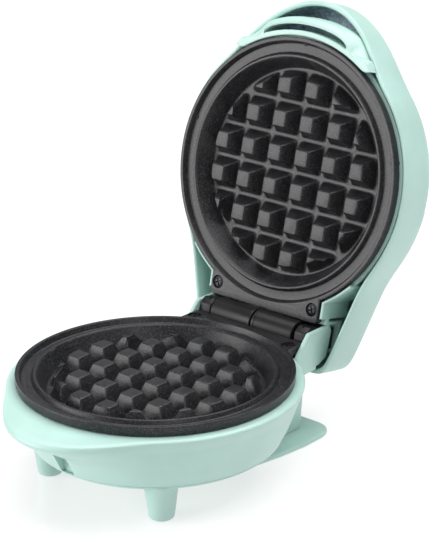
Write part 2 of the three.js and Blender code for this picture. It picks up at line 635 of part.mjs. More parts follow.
function lidSkin(inset, topZ, crownZ, closedBelow) {
  const r = LID_EDGE_RADIUS - inset / 2;
  const rings = [];
  if (closedBelow) rings.push(ring(lidOutline(inset), () => LID_RIM_Z - 6));
  rings.push(ring(lidOutline(inset), rimHeight));
  rings.push(ring(lidOutline(inset + 0.3), () => 17));
  for (const degrees of [0, 25, 50, 75, 90]) {
    const a = radians(degrees);
    rings.push(ring(lidOutline(inset + 0.6 + r * (1 - Math.cos(a))), () => topZ - r + r * Math.sin(a)));
  }
  for (const share of [0.75, 0.45, 0.15]) {
    const edge = lidOutline(inset + 0.6 + r);
    rings.push(ring((angle) => edge(angle) * share, () => topZ + (crownZ - topZ) * (1 - share ** 2)));
  }
  return loft(rings);
}

function lidShell() {
  const outer = lidSkin(0, LID_SHOULDER_Z, LID_CROWN_Z, false);
  const inner = lidSkin(LID_WALL, LID_SHOULDER_Z - LID_WALL, LID_CROWN_Z - LID_WALL, true);
  const windows = [-1, 1].map((s) =>
    discBetween(LENS_RADIUS + GAP, 20, 40, 20).translate([s * LENS_X, LENS_Y, 0]));
  return cut(outer, inner, ...windows);
}

// A bulge that is nearly flat in the middle and drops at its ends.
const bulge = (share) => (share < 1 ? 1 - share ** 5 : 0);

// How far along an end of the crescent turns outward: 0 at its root, 1 at its tip.
const tipShare = (angle) =>
  Math.max(0, fromFront(angle) - CRESCENT_ROOT_ANGLE) / (CRESCENT_TIP_ANGLE - CRESCENT_ROOT_ANGLE);

const crescentInner = (angle) => FRAME_INNER_RADIUS + (CRESCENT_END_WIDTH + 0.1) * tipShare(angle) ** 3;

const crescentFace = (angle) => FRAME_INNER_RADIUS + CRESCENT_END_WIDTH + 0.5 * tipShare(angle) ** 2
  + (CRESCENT_FACE_WIDTH - CRESCENT_END_WIDTH) * bulge(fromFront(angle) / (SLOT_HALF_ANGLE + 3));

// The wall's outer radius, limited by the shell that it lies in.
const crescentWall = (angle) => Math.min(
  FRAME_INNER_RADIUS + CRESCENT_END_WIDTH
    + (CRESCENT_WALL_REACH - CRESCENT_END_WIDTH) * bulge(fromFront(angle) / (SLOT_HALF_ANGLE + 6)),
  lidOutline(LID_WALL + GAP)(angle));

function polarBand(inner, outer, fromDegrees, toDegrees, steps) {
  const at = (radiusAt, i) => {
    const angle = fromDegrees + ((toDegrees - fromDegrees) * i) / steps;
    const r = radiusAt(angle);
    return new THREE.Vector2(r * Math.cos(radians(angle)), r * Math.sin(radians(angle)));
  };
  const out = Array.from({ length: steps + 1 }, (_, i) => at(outer, i));
  const back = Array.from({ length: steps + 1 }, (_, i) => at(inner, steps - i));
  return new THREE.Shape([...out, ...back]);
}

function crescentLip() {
  const span = (half) => [270 - half, 270 + half];
  const underside = FRAME_TOP_Z + CRESCENT_LIP_THICKNESS;
  const face = extrudeUp(polarBand(crescentInner, crescentFace, ...span(CRESCENT_TIP_ANGLE), 44),
    FRAME_TOP_Z, underside);
  const root = extrudeUp(
    polarBand(() => FRAME_INNER_RADIUS, (a) => Math.min(crescentFace(a), crescentWall(a)),
      ...span(CRESCENT_ROOT_ANGLE), 28),
    FRAME_TOP_Z + 1, LEDGE_Z + 1);
  const wall = extrudeUp(
    polarBand((a) => crescentWall(a) - FRAME_WALL - (CRESCENT_WALL_REACH - CRESCENT_FACE_WIDTH), crescentWall,
      ...span(SLOT_HALF_ANGLE + 8), 24),
    underside - 0.5, CRESCENT_DEPTH_Z);
  const slotOuter = (a) => SLOT_INNER_RADIUS
    + SLOT_WIDTH * Math.sqrt(Math.max(0, 1 - (fromFront(a) / (SLOT_HALF_ANGLE + 0.3)) ** 6));
  const slot = polarBand(() => SLOT_INNER_RADIUS, slotOuter, ...span(SLOT_HALF_ANGLE), 20);
  return cut(join(face, root, wall), extrudeUp(slot, FRAME_TOP_Z - 1, CRESCENT_DEPTH_Z + 1));
}

const LEDGE_Z = PARTING_GAP + SKIRT_HEIGHT + GAP;

// One side wall of the frame inside the hood: round the plate, then straight back along the tongue.
function sidePanel(side) {
  const outerX = TONGUE_HALF_WIDTH + 0.5 + FRAME_WALL;
  const innerX = TONGUE_HALF_WIDTH + 0.5;
  const outerR = FRAME_INNER_RADIUS + FRAME_WALL - 0.3;
  const bend = (r, x) => (Math.acos(x / r) * 180) / Math.PI;
  // The wall starts where the hood leaves the round part of the shell.
  let start = 30;
  while (lidOutline(LID_WALL + GAP)(start) < outerR + 2.6) start += 1;
  const outline = [
    ...arcPoints(outerR, start, bend(outerR, outerX), 5),
    new THREE.Vector2(outerX, PANEL_REAR_Y),
    new THREE.Vector2(innerX, PANEL_REAR_Y),
    ...arcPoints(FRAME_INNER_RADIUS, start, bend(FRAME_INNER_RADIUS, innerX), 5).reverse(),
  ];
  const panel = extrudeUp(new THREE.Shape(outline), FRAME_TOP_Z + 0.4, FRAME_DEPTH_Z);
  return side > 0 ? panel : panel.mirror([1, 0, 0]);
}

function innerFrame() {
  const outerR = LID_RADIUS - LID_WALL - GAP;
  const ledge = revolve([
    [FRAME_LEDGE_INNER_RADIUS, LEDGE_Z],
    [outerR, LEDGE_Z],
    [outerR, LEDGE_Z + FRAME_LEDGE_THICKNESS],
    [FRAME_LEDGE_INNER_RADIUS, LEDGE_Z + FRAME_LEDGE_THICKNESS],
  ]);
  const panelX = TONGUE_HALF_WIDTH + 0.5 + FRAME_WALL;
  const seat = boxBetween(-panelX, panelX, PLATE_RADIUS - 12, PANEL_REAR_Y + 3, LEDGE_Z, LEDGE_Z + FRAME_LEDGE_THICKNESS);
  const mouth = discBetween(FRAME_LEDGE_INNER_RADIUS, 0, 30, TURN_STEPS);
  const wall = boxBetween(-panelX, panelX, PANEL_REAR_Y + 1.5, PANEL_REAR_Y + 3, LEDGE_Z, SHELF_Z + 2);
  const shelf = boxBetween(-panelX, panelX, PANEL_REAR_Y + 1.5, HINGE_Y + 8, SHELF_Z, SHELF_Z + 2);
  const wirePassage = boxBetween(BARREL_SPLIT + 6, BARREL_SPLIT + 14, PANEL_REAR_Y - 2, PANEL_REAR_Y + 8,
    LEDGE_Z + 4, LEDGE_Z + 9);
  const screwHoles = [...FRAME_SCREW_PLACES, [PLATE_SCREW_X, PLATE_SCREW_Y], [-PLATE_SCREW_X, PLATE_SCREW_Y]]
    .map(([x, y]) => discBetween(1.6 + GAP, 0, 14, 12).translate([x, y, 0]));
  const pieces = join(cut(seat, mouth), ledge, crescentLip(), sidePanel(-1), sidePanel(1), wall, shelf);
  return cut(pieces, wirePassage, ...screwHoles);
}

const FRAME_SCREW_PLACES = [270, 195, 345].map((angle) => {
  const r = (FRAME_LEDGE_INNER_RADIUS + LID_RADIUS - LID_WALL) / 2;
  return [r * Math.cos(radians(angle)), r * Math.sin(radians(angle))];
});

function indicatorLens() {
  const seatZ = LID_CROWN_Z - LID_WALL - 1.6;
  return revolve([
    [0, seatZ],
    [LENS_RADIUS, seatZ],
    [LENS_RADIUS, LID_CROWN_Z - 0.6],
    [LENS_RADIUS * 0.7, LID_CROWN_Z],
    [0, LID_CROWN_Z + 0.2],
  ], 20);
}

const lampBulb = () => revolve([[0, 27.6], [1.4, 27], [1.9, 25.6], [1.9, 22.6], [0, 22.6]], 12);

function lampHolder() {
  const plate = boxBetween(-LENS_X - 5, LENS_X + 5, LENS_Y - 4, LENS_Y + 4, 24, 25.6);
  const holes = [-1, 1].map((s) => discBetween(1.9 + GAP, 20, 30, 12).translate([s * LENS_X, LENS_Y, 0]));
  return cut(plate, ...holes);
}

// ---- Materials ----

const finish = (color, roughness, metalness = 0) =>
  new THREE.MeshStandardMaterial({ color, roughness, metalness });

const mint = () => finish(0xa9d3c5, 0.42);
const nonStick = () => finish(0x3b3b40, 0.5, 0.1);
const blackPlastic = () => finish(0x1c1c1f, 0.45);
const steel = () => finish(0x9a9a9c, 0.35, 0.9);
const darkScrew = () => finish(0x2c2c2e, 0.45, 0.7);
const sheetMetal = () => finish(0xb8babc, 0.4, 0.9);
const rubber = () => finish(0x2a2a2a, 0.85);
const ceramic = () => finish(0xe6e2d8, 0.6);
const sleeve = () => finish(0xd9d5c8, 0.8);

// ---- Assembly ----

const model = new THREE.Group();
const base = new THREE.Group();
const hinge = new THREE.Group(); // the hinge axis, turned open
const lid = new THREE.Group(); // lid pieces, drawn closed
model.add(base, hinge);
hinge.add(lid);
hinge.position.set(0, HINGE_Y, HINGE_Z);
hinge.rotation.x = -radians(OPEN_ANGLE);
lid.position.set(0, -HINGE_Y, -HINGE_Z);

function place(group, name, body, material, at = [0, 0, 0]) {
  const mesh = new THREE.Mesh(geometryOf(body), material);
  mesh.name = name;
  mesh.position.set(...at);
  group.add(mesh);
  return mesh;
}

const SIDES = [["left", -1], ["right", 1]];

// Base
place(base, "base_housing", cut(baseHousing(), pinHoles()), mint());
place(base, "base_bottom_cover", bottomCover(), mint());
place(base, "rear_foot_plate", rearFootPlate(), mint());
place(base, "lower_baking_plate", wafflePlate(), nonStick());
place(base, "lower_heating_element", heatingElement(), steel());
place(base, "lower_heat_shield", heatShield(), sheetMetal());
place(base, "thermostat", thermostat(), sheetMetal());
place(base, "thermal_fuse", thermalFuse(), ceramic());
place(base, "terminal_block", terminalBlock(), ceramic());
place(base, "cord_gland", cordGland(), blackPlastic());
place(base, "hinge_bay_cover", bayCover(), blackPlastic());
place(base, "base_wire_barrel", wireBarrel(-1), blackPlastic());
const loomZ = PLATE_UNDER_Z - 10.9;
const baseLoomPath = [
  [-10, 36, loomZ],
  [-10, COLUMN_FRONT_Y - 7, loomZ + 0.2],
  [-14, COLUMN_FRONT_Y + 3, loomZ + 2.2],
  [-14, COLUMN_FRONT_Y + 10, loomZ + 3.7],
  [-8, COLUMN_FRONT_Y + 14, loomZ + 0.2],
  [-4, COLUMN_FRONT_Y + 8, loomZ - 4.8],
];
place(base, "base_wire_loom", wireLoom(baseLoomPath, 16), sleeve());

for (const [name, side] of SIDES) {
  place(base, "foot_pad_front_" + name, rubberPad(), rubber(), [side * FOOT_X, FOOT_Y, 0]);
  const [padX, padY] = REAR_PAD_PLACES[side < 0 ? 0 : 1];
  place(base, "foot_pad_rear_" + name, rubberPad(), rubber(), [padX, padY, 0]);
  const plateScrew = crossScrew(PLATE_SCREW_HEAD_RADIUS, 1.2, 1.6, 9);
  place(base, "lower_plate_screw_" + name, plateScrew, darkScrew(), [side * PLATE_SCREW_X, PLATE_SCREW_Y, -0.2]);
  place(base, "hinge_pin_" + name, hingePin(side), steel());
  const [footX, footY] = FOOT_PLATE_SCREW_PLACES[side < 0 ? 0 : 1];
  const upwards = crossScrew(3, 1, 1.5, 7).rotate([180, 0, 0]);
  place(base, "foot_plate_screw_" + name, upwards, darkScrew(), [footX, footY, FLOOR_Z + PAD_PROUD]);
}
["front", "left", "right"].forEach((name, i) => {
  const [x, y] = COVER_SCREW_PLACES[i];
  const upwards = crossScrew(3, 1, 1.5, 6).rotate([180, 0, 0]);
  place(base, "cover_screw_" + name, upwards, darkScrew(), [x, y, COVER_BOTTOM_Z - 0.2]);
});

// Lid: the lid's own plate and heating parts are the base's, turned face down.
const faceDown = (body) => body.rotate([0, 180, 0]).translate([0, 0, PARTING_GAP]);
place(lid, "lid_outer_shell", lidShell(), mint());
place(lid, "lid_inner_frame", innerFrame(), mint());
place(lid, "upper_baking_plate", faceDown(wafflePlate()), nonStick());
place(lid, "upper_heating_element", faceDown(heatingElement()), steel());
place(lid, "upper_heat_shield", faceDown(heatShield()), sheetMetal());
place(lid, "lid_wire_barrel", wireBarrel(1), blackPlastic());
const lidLoomPath = [
  [11, PANEL_REAR_Y - 3.6, LEDGE_Z + 12.7],
  [11, PANEL_REAR_Y + 0.9, LEDGE_Z + 7.1],
  [11, PANEL_REAR_Y + 2.8, LEDGE_Z + 6.3],
  [11, PANEL_REAR_Y + 3.9, LEDGE_Z + 5.9],
];
place(lid, "lid_wire_loom", wireLoom(lidLoomPath, 8), sleeve());
const lampZ = LID_CROWN_Z - 33; // lamps and lenses are drawn under a crown at z = 33
place(lid, "lamp_holder", lampHolder(), blackPlastic(), [0, 0, lampZ]);
for (const [name, side] of SIDES) {
  const plateScrew = faceDown(crossScrew(PLATE_SCREW_HEAD_RADIUS, 1.2, 1.6, 9));
  place(lid, "upper_plate_screw_" + name, plateScrew, darkScrew(), [side * PLATE_SCREW_X, PLATE_SCREW_Y, 0.2]);
  place(lid, "lid_hinge_arm_" + name, hingeArm(side), blackPlastic());
}
["front", "left", "right"].forEach((name, i) => {
  const [x, y] = FRAME_SCREW_PLACES[i];
  place(lid, "frame_screw_" + name, crossScrew(2.4, 1.2, 1.6, 7).rotate([180, 0, 0]), darkScrew(),
    [x, y, LEDGE_Z + FRAME_LEDGE_THICKNESS + 4]);
});
[["power", -1, 0xc8281e], ["ready", 1, 0x2f9e44]].forEach(([name, side, colour]) => {
  place(lid, name + "_lens", indicatorLens(), finish(colour, 0.2), [side * LENS_X, LENS_Y, lampZ]);
  place(lid, name + "_lamp", lampBulb(), finish(0xf2c9a0, 0.2), [side * LENS_X, LENS_Y, lampZ]);
});

// The origin is the bottom centre of the whole.
const part = new THREE.Group();
part.add(model);
part.updateMatrixWorld(true);
const bounds = new THREE.Box3().setFromObject(model, true);
const centre = bounds.getCenter(new THREE.Vector3());
model.position.set(-centre.x, -centre.y, -bounds.min.z);

export default part;
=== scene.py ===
"""A mini waffle maker with its lid open: the looks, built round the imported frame.

Shapes are drawn in millimetres round the centre of the lower plate's rim, lid pieces in the closed position,
and are placed in metres by BASE or LID.
"""
import json
import math

import bmesh
import bpy
from mathutils import Matrix, Vector


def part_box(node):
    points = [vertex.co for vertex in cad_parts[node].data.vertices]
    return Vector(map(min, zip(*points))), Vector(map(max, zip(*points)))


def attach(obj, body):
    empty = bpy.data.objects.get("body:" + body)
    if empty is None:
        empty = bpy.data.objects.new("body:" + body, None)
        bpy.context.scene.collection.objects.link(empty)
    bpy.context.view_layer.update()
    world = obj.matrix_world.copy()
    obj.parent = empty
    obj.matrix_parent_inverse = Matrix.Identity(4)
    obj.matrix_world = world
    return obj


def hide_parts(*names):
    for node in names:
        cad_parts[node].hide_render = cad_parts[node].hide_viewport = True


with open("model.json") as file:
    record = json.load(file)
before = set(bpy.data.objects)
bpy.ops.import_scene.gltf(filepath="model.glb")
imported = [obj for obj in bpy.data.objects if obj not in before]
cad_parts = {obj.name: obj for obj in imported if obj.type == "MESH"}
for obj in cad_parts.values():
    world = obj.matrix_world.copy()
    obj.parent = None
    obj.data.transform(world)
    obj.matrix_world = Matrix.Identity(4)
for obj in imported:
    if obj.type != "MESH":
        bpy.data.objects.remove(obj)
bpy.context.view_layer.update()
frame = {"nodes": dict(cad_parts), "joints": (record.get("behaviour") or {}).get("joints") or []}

# ---------------------------------------------------------------- where things are

MM = 0.001
plate_low, plate_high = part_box("lower_baking_plate")
PLATE_RADIUS = (plate_high.x - plate_low.x) / 2 / MM
PLATE_CENTRE = Vector(((plate_low.x + plate_high.x) / 2, plate_low.y + PLATE_RADIUS * MM, plate_high.z))
FLOOR_Z = -plate_high.z / MM
hinge_joint = frame["joints"][0]
HINGE = (Vector(hinge_joint["pos_m"]) - PLATE_CENTRE) / MM
OPEN_ANGLE = math.radians(max(hinge_joint["range_deg"]))
BASE = Matrix.Translation(PLATE_CENTRE) @ Matrix.Scale(MM, 4)
LID = (BASE @ Matrix.Translation(HINGE) @ Matrix.Rotation(-OPEN_ANGLE, 4, "X")
       @ Matrix.Translation(-HINGE))
PLACE = {"base": BASE, "lid": LID}

# ---------------------------------------------------------------- sizes shared by several pieces

PARTING_GAP = 0.5                # between the two plates' rims when the lid is closed
GAP = 0.3                        # between touching pieces
SKIRT = 4.5                      # height of a plate's side wall
CAVITY_DEPTH = 8.8
DISH_WALL = 2.5
PEG_PITCH = 15.76
TONGUE_X, TONGUE_Y = 31.8, 64.3  # half width and rear edge of a plate's tongue
SCREW_X, SCREW_Y = 28.0, 58.3    # the screws in the tongue
SCREW_HOLE = 1.8

WALL = 2.2
BASE_EDGE_Z = -30.3
GRIP_REACH, GRIP_HALF_ANGLE = 13.3, 45
EAR_X = TONGUE_X + GAP
EAR_WALL = 2.2
BAY_FLOOR = -12.6
COLUMN_FRONT, COLUMN_REAR = 52, 71.3
COLUMN_FOOT_Z = -46.3
GLAND_Z = -37
FOOT_END = FLOOR_Z + 0.3         # the pads stand proud of the feet
FOOT_PLATE = 2.4
PAD_SEAT, HEAD_SEAT = 3.7, 3.3

BARREL_R, BARREL_X, BARREL_BORE = 6.65, 24.0, 3.3
PIN_RADIUS, PIN_HOLE = 2.0, 2.1
PIN_COVER = 0.8                  # plastic left over the end of each blind pin hole

LID_RADIUS = 65.2
LID_WALL = 2.0
LID_EDGE = 8.0                   # radius of the edge round the lid's top
RIM_Z = 4.6
SHOULDER_Z, CROWN_Z = 30.0, 33.0
HANDLE_REACH, HANDLE_HALF_ANGLE, HANDLE_RISE = 14.1, 47, 6.4
HOOD_REAR = 88.0
HOOD_HALF_WIDTH, HOOD_TAPER = 37.6, 0.3
HOOD_CORNER, HOOD_BLEND = 3.2, 1.6
LENS_X, LENS_Y = 6.0, -34.0
WINDOW_RADIUS = 3.3

LEDGE_Z = PARTING_GAP + SKIRT + GAP
LEDGE_INNER, LEDGE_THICK = 57.5, 2.6
FRAME_R = PLATE_RADIUS + 0.7
FRAME_TOP = 1.2
SHELF_Z = 16.0


def bump(share):
    """A smooth hump: 1 at a share of 0, falling to 0 at a share of 1."""
    return math.cos(share * math.pi / 2) ** 2 if share < 1 else 0.0


def soft_max(a, b, softness):
    """The larger of two values, blended where they are close."""
    return softness * math.log(math.exp(a / softness) + math.exp(b / softness))


def soft_min(a, b, softness):
    return -soft_max(-a, -b, softness)


def from_front(angle):
    """How far an angle in degrees is from straight ahead (-Y)."""
    return abs((angle - 270 + 540) % 360 - 180)


def handle_share(angle):
    return bump(from_front(angle) / HANDLE_HALF_ANGLE)


def grip_share(angle):
    return bump(from_front(angle) / GRIP_HALF_ANGLE)


def rim_height(angle):
    return RIM_Z + HANDLE_RISE * handle_share(angle)


def lid_outline(inset, angle):
    """The lid's outline pulled in by an inset: round with its handle, blended with the tapered hood."""
    round_part = LID_RADIUS - inset + HANDLE_REACH * handle_share(angle)
    across = abs(math.cos(math.radians(angle)))
    back = math.sin(math.radians(angle))
    if back < 0.1:
        return round_part
    half_width = HOOD_HALF_WIDTH + HOOD_TAPER * HOOD_REAR - inset * math.hypot(1, HOOD_TAPER)
    side = half_width / (across + HOOD_TAPER * back)
    rear = (HOOD_REAR - inset) / back
    return soft_max(round_part, soft_min(side, rear, HOOD_CORNER), HOOD_BLEND)


# ---------------------------------------------------------------- solids as plain vertex and face lists


class Solid:
    """Vertices in millimetres and the faces between them."""

    def __init__(self, verts, faces):
        self.verts = [Vector(v) for v in verts]
        self.faces = [tuple(f) for f in faces]

    def moved(self, matrix):
        return Solid([matrix @ v for v in self.verts], self.faces)

    def at(self, x, y, z):
        return self.moved(Matrix.Translation((x, y, z)))

    def plus(self, *others):
        """Solids that don't touch each other, as one."""
        verts, faces = list(self.verts), list(self.faces)
        for other in others:
            start = len(verts)
            verts += other.verts
            faces += [tuple(i + start for i in f) for f in other.faces]
        return Solid(verts, faces)


MIRROR = Matrix.Scale(-1, 4, (1, 0, 0))
FLIP = Matrix.Translation((0, 0, PARTING_GAP)) @ Matrix.Rotation(math.pi, 4, "Y")
UPSIDE_DOWN = Matrix.Rotation(math.pi, 4, "X")
ALONG_X = Matrix.Rotation(math.pi / 2, 4, "Y")


def skin(rings, cyclic=False):
    """A closed skin over rings of equal count, capped at both ends or closed round."""
    n = len(rings[0])
    verts = [v for ring in rings for v in ring]
    faces = []
    for i in range(len(rings) if cyclic else len(rings) - 1):
        a, b = i * n, (i + 1) % len(rings) * n
        faces += [(a + j, a + (j + 1) % n, b + (j + 1) % n, b + j) for j in range(n)]
    if not cyclic:
        faces.append(tuple(reversed(range(n))))
        faces.append(tuple(range(len(verts) - n, len(verts))))
    return Solid(verts, faces)


def rounded(points, radius=0.0, steps=5, closed=True):
    """Corners (x, y) or (x, y, r) of an outline, each turned into a small arc."""
    out = []
    n = len(points)
    for i, point in enumerate(points):
        here = Vector(point[:2])
        r = point[2] if len(point) > 2 else radius
        if r <= 0 or (not closed and i in (0, n - 1)):
            out.append(here)
            continue
        before = Vector(points[i - 1][:2]) - here
        after = Vector(points[(i + 1) % n][:2]) - here
        room = 0.48 * min(before.length, after.length)
        reach = min(r / max(math.tan(before.angle(after) / 2), 1e-6), room)
        start = here + before.normalized() * reach
        end = here + after.normalized() * reach
        for k in range(steps + 1):
            t = k / steps
            out.append(start * (1 - t) ** 2 + here * 2 * t * (1 - t) + end * t * t)
    return out


def lathe(profile, steps=96):
    """A solid of revolution about Z. The profile runs from axis to axis, or closes on itself."""
    verts, rows, faces = [], [], []
    for r, z in profile:
        count = steps if r > 1e-6 else 1
        rows.append(range(len(verts), len(verts) + count))
        for j in range(count):
            a = 2 * math.pi * j / steps
            verts.append((r * math.cos(a), r * math.sin(a), z))
    open_profile = profile[0][0] < 1e-6 and profile[-1][0] < 1e-6
    for a, b in zip(rows, rows[1:] if open_profile else rows[1:] + rows[:1]):
        for j in range(steps):
            k = (j + 1) % steps
            quad = [a[j % len(a)], a[k % len(a)], b[k % len(b)], b[j % len(b)]]
            faces.append(list(dict.fromkeys(quad)))
    return Solid(verts, faces)


def inset_outline(outline, distance):
    """An outline drawn in by a distance. The outline runs anticlockwise."""
    out = []
    n = len(outline)
    for i, here in enumerate(outline):
        along = (outline[(i + 1) % n] - outline[i - 1]).normalized()
        out.append(here + Vector((-along.y, along.x)) * distance)
    return out


def anticlockwise(outline):
    area = sum(a.x * b.y - b.x * a.y for a, b in zip(outline, outline[1:] + outline[:1]))
    return outline if area > 0 else outline[::-1]


TO_SPACE = {
    "X": lambda u, v, w: Vector((w, u, v)),
    "Y": lambda u, v, w: Vector((u, w, v)),
    "Z": lambda u, v, w: Vector((u, v, w)),
}


def prism(outline, low, high, edge=0.0, along="Z"):
    """An outline extruded along an axis, its two rims rounded by edge."""
    outline = anticlockwise([Vector(p[:2]) for p in outline])
    levels = [(0, low), (0, high)]
    if edge:
        turns = [math.radians(a) for a in (0, 30, 60, 90)]
        levels = [(edge * (1 - math.sin(a)), low + edge * (1 - math.cos(a))) for a in turns]
        levels += [(i, high + low - w) for i, w in reversed(levels)]
    place = TO_SPACE[along]
    return skin([[place(p.x, p.y, w) for p in inset_outline(outline, i)] for i, w in levels])


def box(x0, x1, y0, y1, z0, z1, corner=0.0, edge=0.0):
    return prism(rounded([(x0, y0), (x1, y0), (x1, y1), (x0, y1)], corner), z0, z1, edge)


def disc(radius, z0, z1, steps=48, edge=0.0):
    profile = [(0, z0), (radius, z0, edge), (radius, z1, edge), (0, z1)]
    return lathe(rounded(profile, closed=False, steps=3), steps)


def ring(radius_at, height_at, steps):
    """A ring of points; radius and height are functions of the angle in degrees."""
    out = []
    for j in range(steps):
        angle = 360 * j / steps
        a, r = math.radians(angle), radius_at(angle)
        out.append(Vector((r * math.cos(a), r * math.sin(a), height_at(angle))))
    return out


def arc(radius, start, end, steps):
    """Points on a circle round the origin between two angles in degrees."""
    turns = [math.radians(start + (end - start) * i / steps) for i in range(steps + 1)]
    return [Vector((radius * math.cos(a), radius * math.sin(a))) for a in turns]


# ---------------------------------------------------------------- from solids to pieces


def new_object(name, solid):
    mesh = bpy.data.meshes.new(name)
    mesh.from_pydata([tuple(v) for v in solid.verts], [], solid.faces)
    bm = bmesh.new()
    bm.from_mesh(mesh)
    bmesh.ops.remove_doubles(bm, verts=bm.verts, dist=1e-5)
    bmesh.ops.recalc_face_normals(bm, faces=bm.faces)
    bm.to_mesh(mesh)
    bm.free()
    obj = bpy.data.objects.new(name, mesh)
    bpy.context.scene.collection.objects.link(obj)
    return obj


def bake_modifiers(obj):
    evaluated = obj.evaluated_get(bpy.context.evaluated_depsgraph_get())
    mesh = bpy.data.meshes.new_from_object(evaluated)
    obj.modifiers.clear()
    old = obj.data
    obj.data = mesh
    bpy.data.meshes.remove(old)
    mesh.name = obj.name


def take(obj):
    """The solid of a scratch object, which is removed."""
    mesh = obj.data
    solid = Solid([v.co for v in mesh.vertices], [p.vertices for p in mesh.polygons])
    bpy.data.objects.remove(obj)
    bpy.data.meshes.remove(mesh)
    return solid


def combine(obj, solids, operation):
    for i, solid in enumerate(solids):
        tool = new_object(f"tool_{i}", solid)
        modifier = obj.modifiers.new("combine", "BOOLEAN")
        modifier.operation = operation
        modifier.solver = "MANIFOLD"
        modifier.object = tool
        bake_modifiers(obj)
        mesh = tool.data
        bpy.data.objects.remove(tool)
        bpy.data.meshes.remove(mesh)


def piece(name, body, material, solid, joins=(), cuts=(), replaces=(), sharp=32, inside=None):
    """Makes a piece from a solid, with others joined to it or cut from it, and lets it ride on its body.

    inside gives for each vertex how much painted shade it takes, from 0 to 1: the shell's inner face behind
    the handle's rim is painted darker to stand in for its shadow.
    """
    obj = new_object(name, solid)
    combine(obj, joins, "UNION")
    combine(obj, cuts, "DIFFERENCE")
    # Painted shade: the per-vertex mask marks where the shell's inner face is painted darker.
    if inside:
        painted_shade_mask = obj.data.attributes.new("inside", "FLOAT", "POINT")
        for i, vertex in enumerate(obj.data.vertices):
            painted_shade_mask.data[i].value = inside(vertex.co)
    obj.data.transform(PLACE[body])
    mesh = obj.data
    mesh.shade_smooth()
    mesh.set_sharp_from_angle(angle=math.radians(sharp))
    mesh.materials.clear()
    mesh.materials.append(material)
    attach(obj, body)
    if replaces:
        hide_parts(*replaces)
    return obj


# ---------------------------------------------------------------- materials


class Shader:
    """A node material on the object's own coordinates."""

    def __init__(self, name):
        self.material = bpy.data.materials.new(name)
        self.material.use_nodes = True
        self.nodes = self.material.node_tree.nodes
        self.links = self.material.node_tree.links
        self.bsdf = self.nodes["Principled BSDF"]
        self.coords = self.nodes.new("ShaderNodeTexCoord").outputs["Object"]

    def noise(self, size_mm, detail=2.0, rough=0.5, stretch=None):
        node = self.nodes.new("ShaderNodeTexNoise")
        node.inputs["Scale"].default_value = 1 / (size_mm * MM)
        node.inputs["Detail"].default_value = detail
        node.inputs["Roughness"].default_value = rough
        source = self.coords
        if stretch:
            mapping = self.nodes.new("ShaderNodeMapping")
            mapping.inputs["Scale"].default_value = stretch
            self.links.new(source, mapping.inputs["Vector"])
            source = mapping.outputs["Vector"]
        self.links.new(source, node.inputs["Vector"])
        return node.outputs["Fac"]

    def spread(self, value, low, high, to_low, to_high):
        node = self.nodes.new("ShaderNodeMapRange")
        node.inputs["From Min"].default_value = low
        node.inputs["From Max"].default_value = high
        node.inputs["To Min"].default_value = to_low
        node.inputs["To Max"].default_value = to_high
        self.links.new(value, node.inputs["Value"])
        return node.outputs["Result"]

    def blend(self, factor, first, second):
        node = self.nodes.new("ShaderNodeMix")
        node.data_type = "RGBA"
        self.links.new(factor, node.inputs["Factor"])
        for index, colour in ((6, first), (7, second)):
            if isinstance(colour, tuple):
                node.inputs[index].default_value = (*colour, 1)
            else:
                self.links.new(colour, node.inputs[index])
        return node.outputs[2]

    def worn_edges(self, low=0.52, high=0.6):
        geometry = self.nodes.new("ShaderNodeNewGeometry")
        return self.spread(geometry.outputs["Pointiness"], low, high, 0, 1)

    def bump(self, height, strength, distance_mm, under=None):
        node = self.nodes.new("ShaderNodeBump")
        node.inputs["Strength"].default_value = strength
        node.inputs["Distance"].default_value = distance_mm * MM
        self.links.new(height, node.inputs["Height"])
        if under:
            self.links.new(under, node.inputs["Normal"])
        return node.outputs["Normal"]

    def finish(self, colour=None, roughness=None, normal=None, **values):
        names = {"Base Color": colour, "Roughness": roughness, "Normal": normal}
        for name, socket in names.items():
            if socket is not None:
                self.links.new(socket, self.bsdf.inputs[name])
        for name, value in values.items():
            self.bsdf.inputs[name.replace("_", " ")].default_value = value
        return self.material


def moulded_plastic(name, colour, rough=0.36, grain_mm=0.35, grain=0.10, tint=0.05, inside=None, shine=0.5):
    s = Shader(name)
    lighter = tuple(min(1, c * (1 + tint)) for c in colour)
    darker = tuple(c * (1 - tint) for c in colour)
    cloud = s.blend(s.spread(s.noise(28, 3), 0.35, 0.65, 0, 1), darker, lighter)
    edges = s.worn_edges(0.53, 0.64)
    shade = s.blend(edges, cloud, tuple(min(1, c * 1.07 + 0.01) for c in colour))
    # Painted shade: where the mask is set, the colour turns to a streaky darker slate that stands in for the
    # shadow inside the handle's hollow.
    if inside:
        painted_shade_mask = s.nodes.new("ShaderNodeAttribute")
        painted_shade_mask.attribute_name = "inside"
        painted_shade_streaks = s.blend(s.spread(s.noise(2.5, 4, 0.7), 0.35, 0.65, 0, 1),
                          tuple(c * 0.55 for c in inside), tuple(c * 1.5 for c in inside))
        shade = s.blend(painted_shade_mask.outputs["Fac"], shade, painted_shade_streaks)
    smudge = s.spread(s.noise(14, 4, 0.6), 0.3, 0.7, rough - 0.05, rough + 0.07)
    fine = s.bump(s.noise(grain_mm, 2), grain, 0.03)
    normal = s.bump(s.noise(9, 1), 0.05, 0.12, fine)
    return s.finish(shade, smudge, normal, IOR=1.5, Specular_IOR_Level=shine)


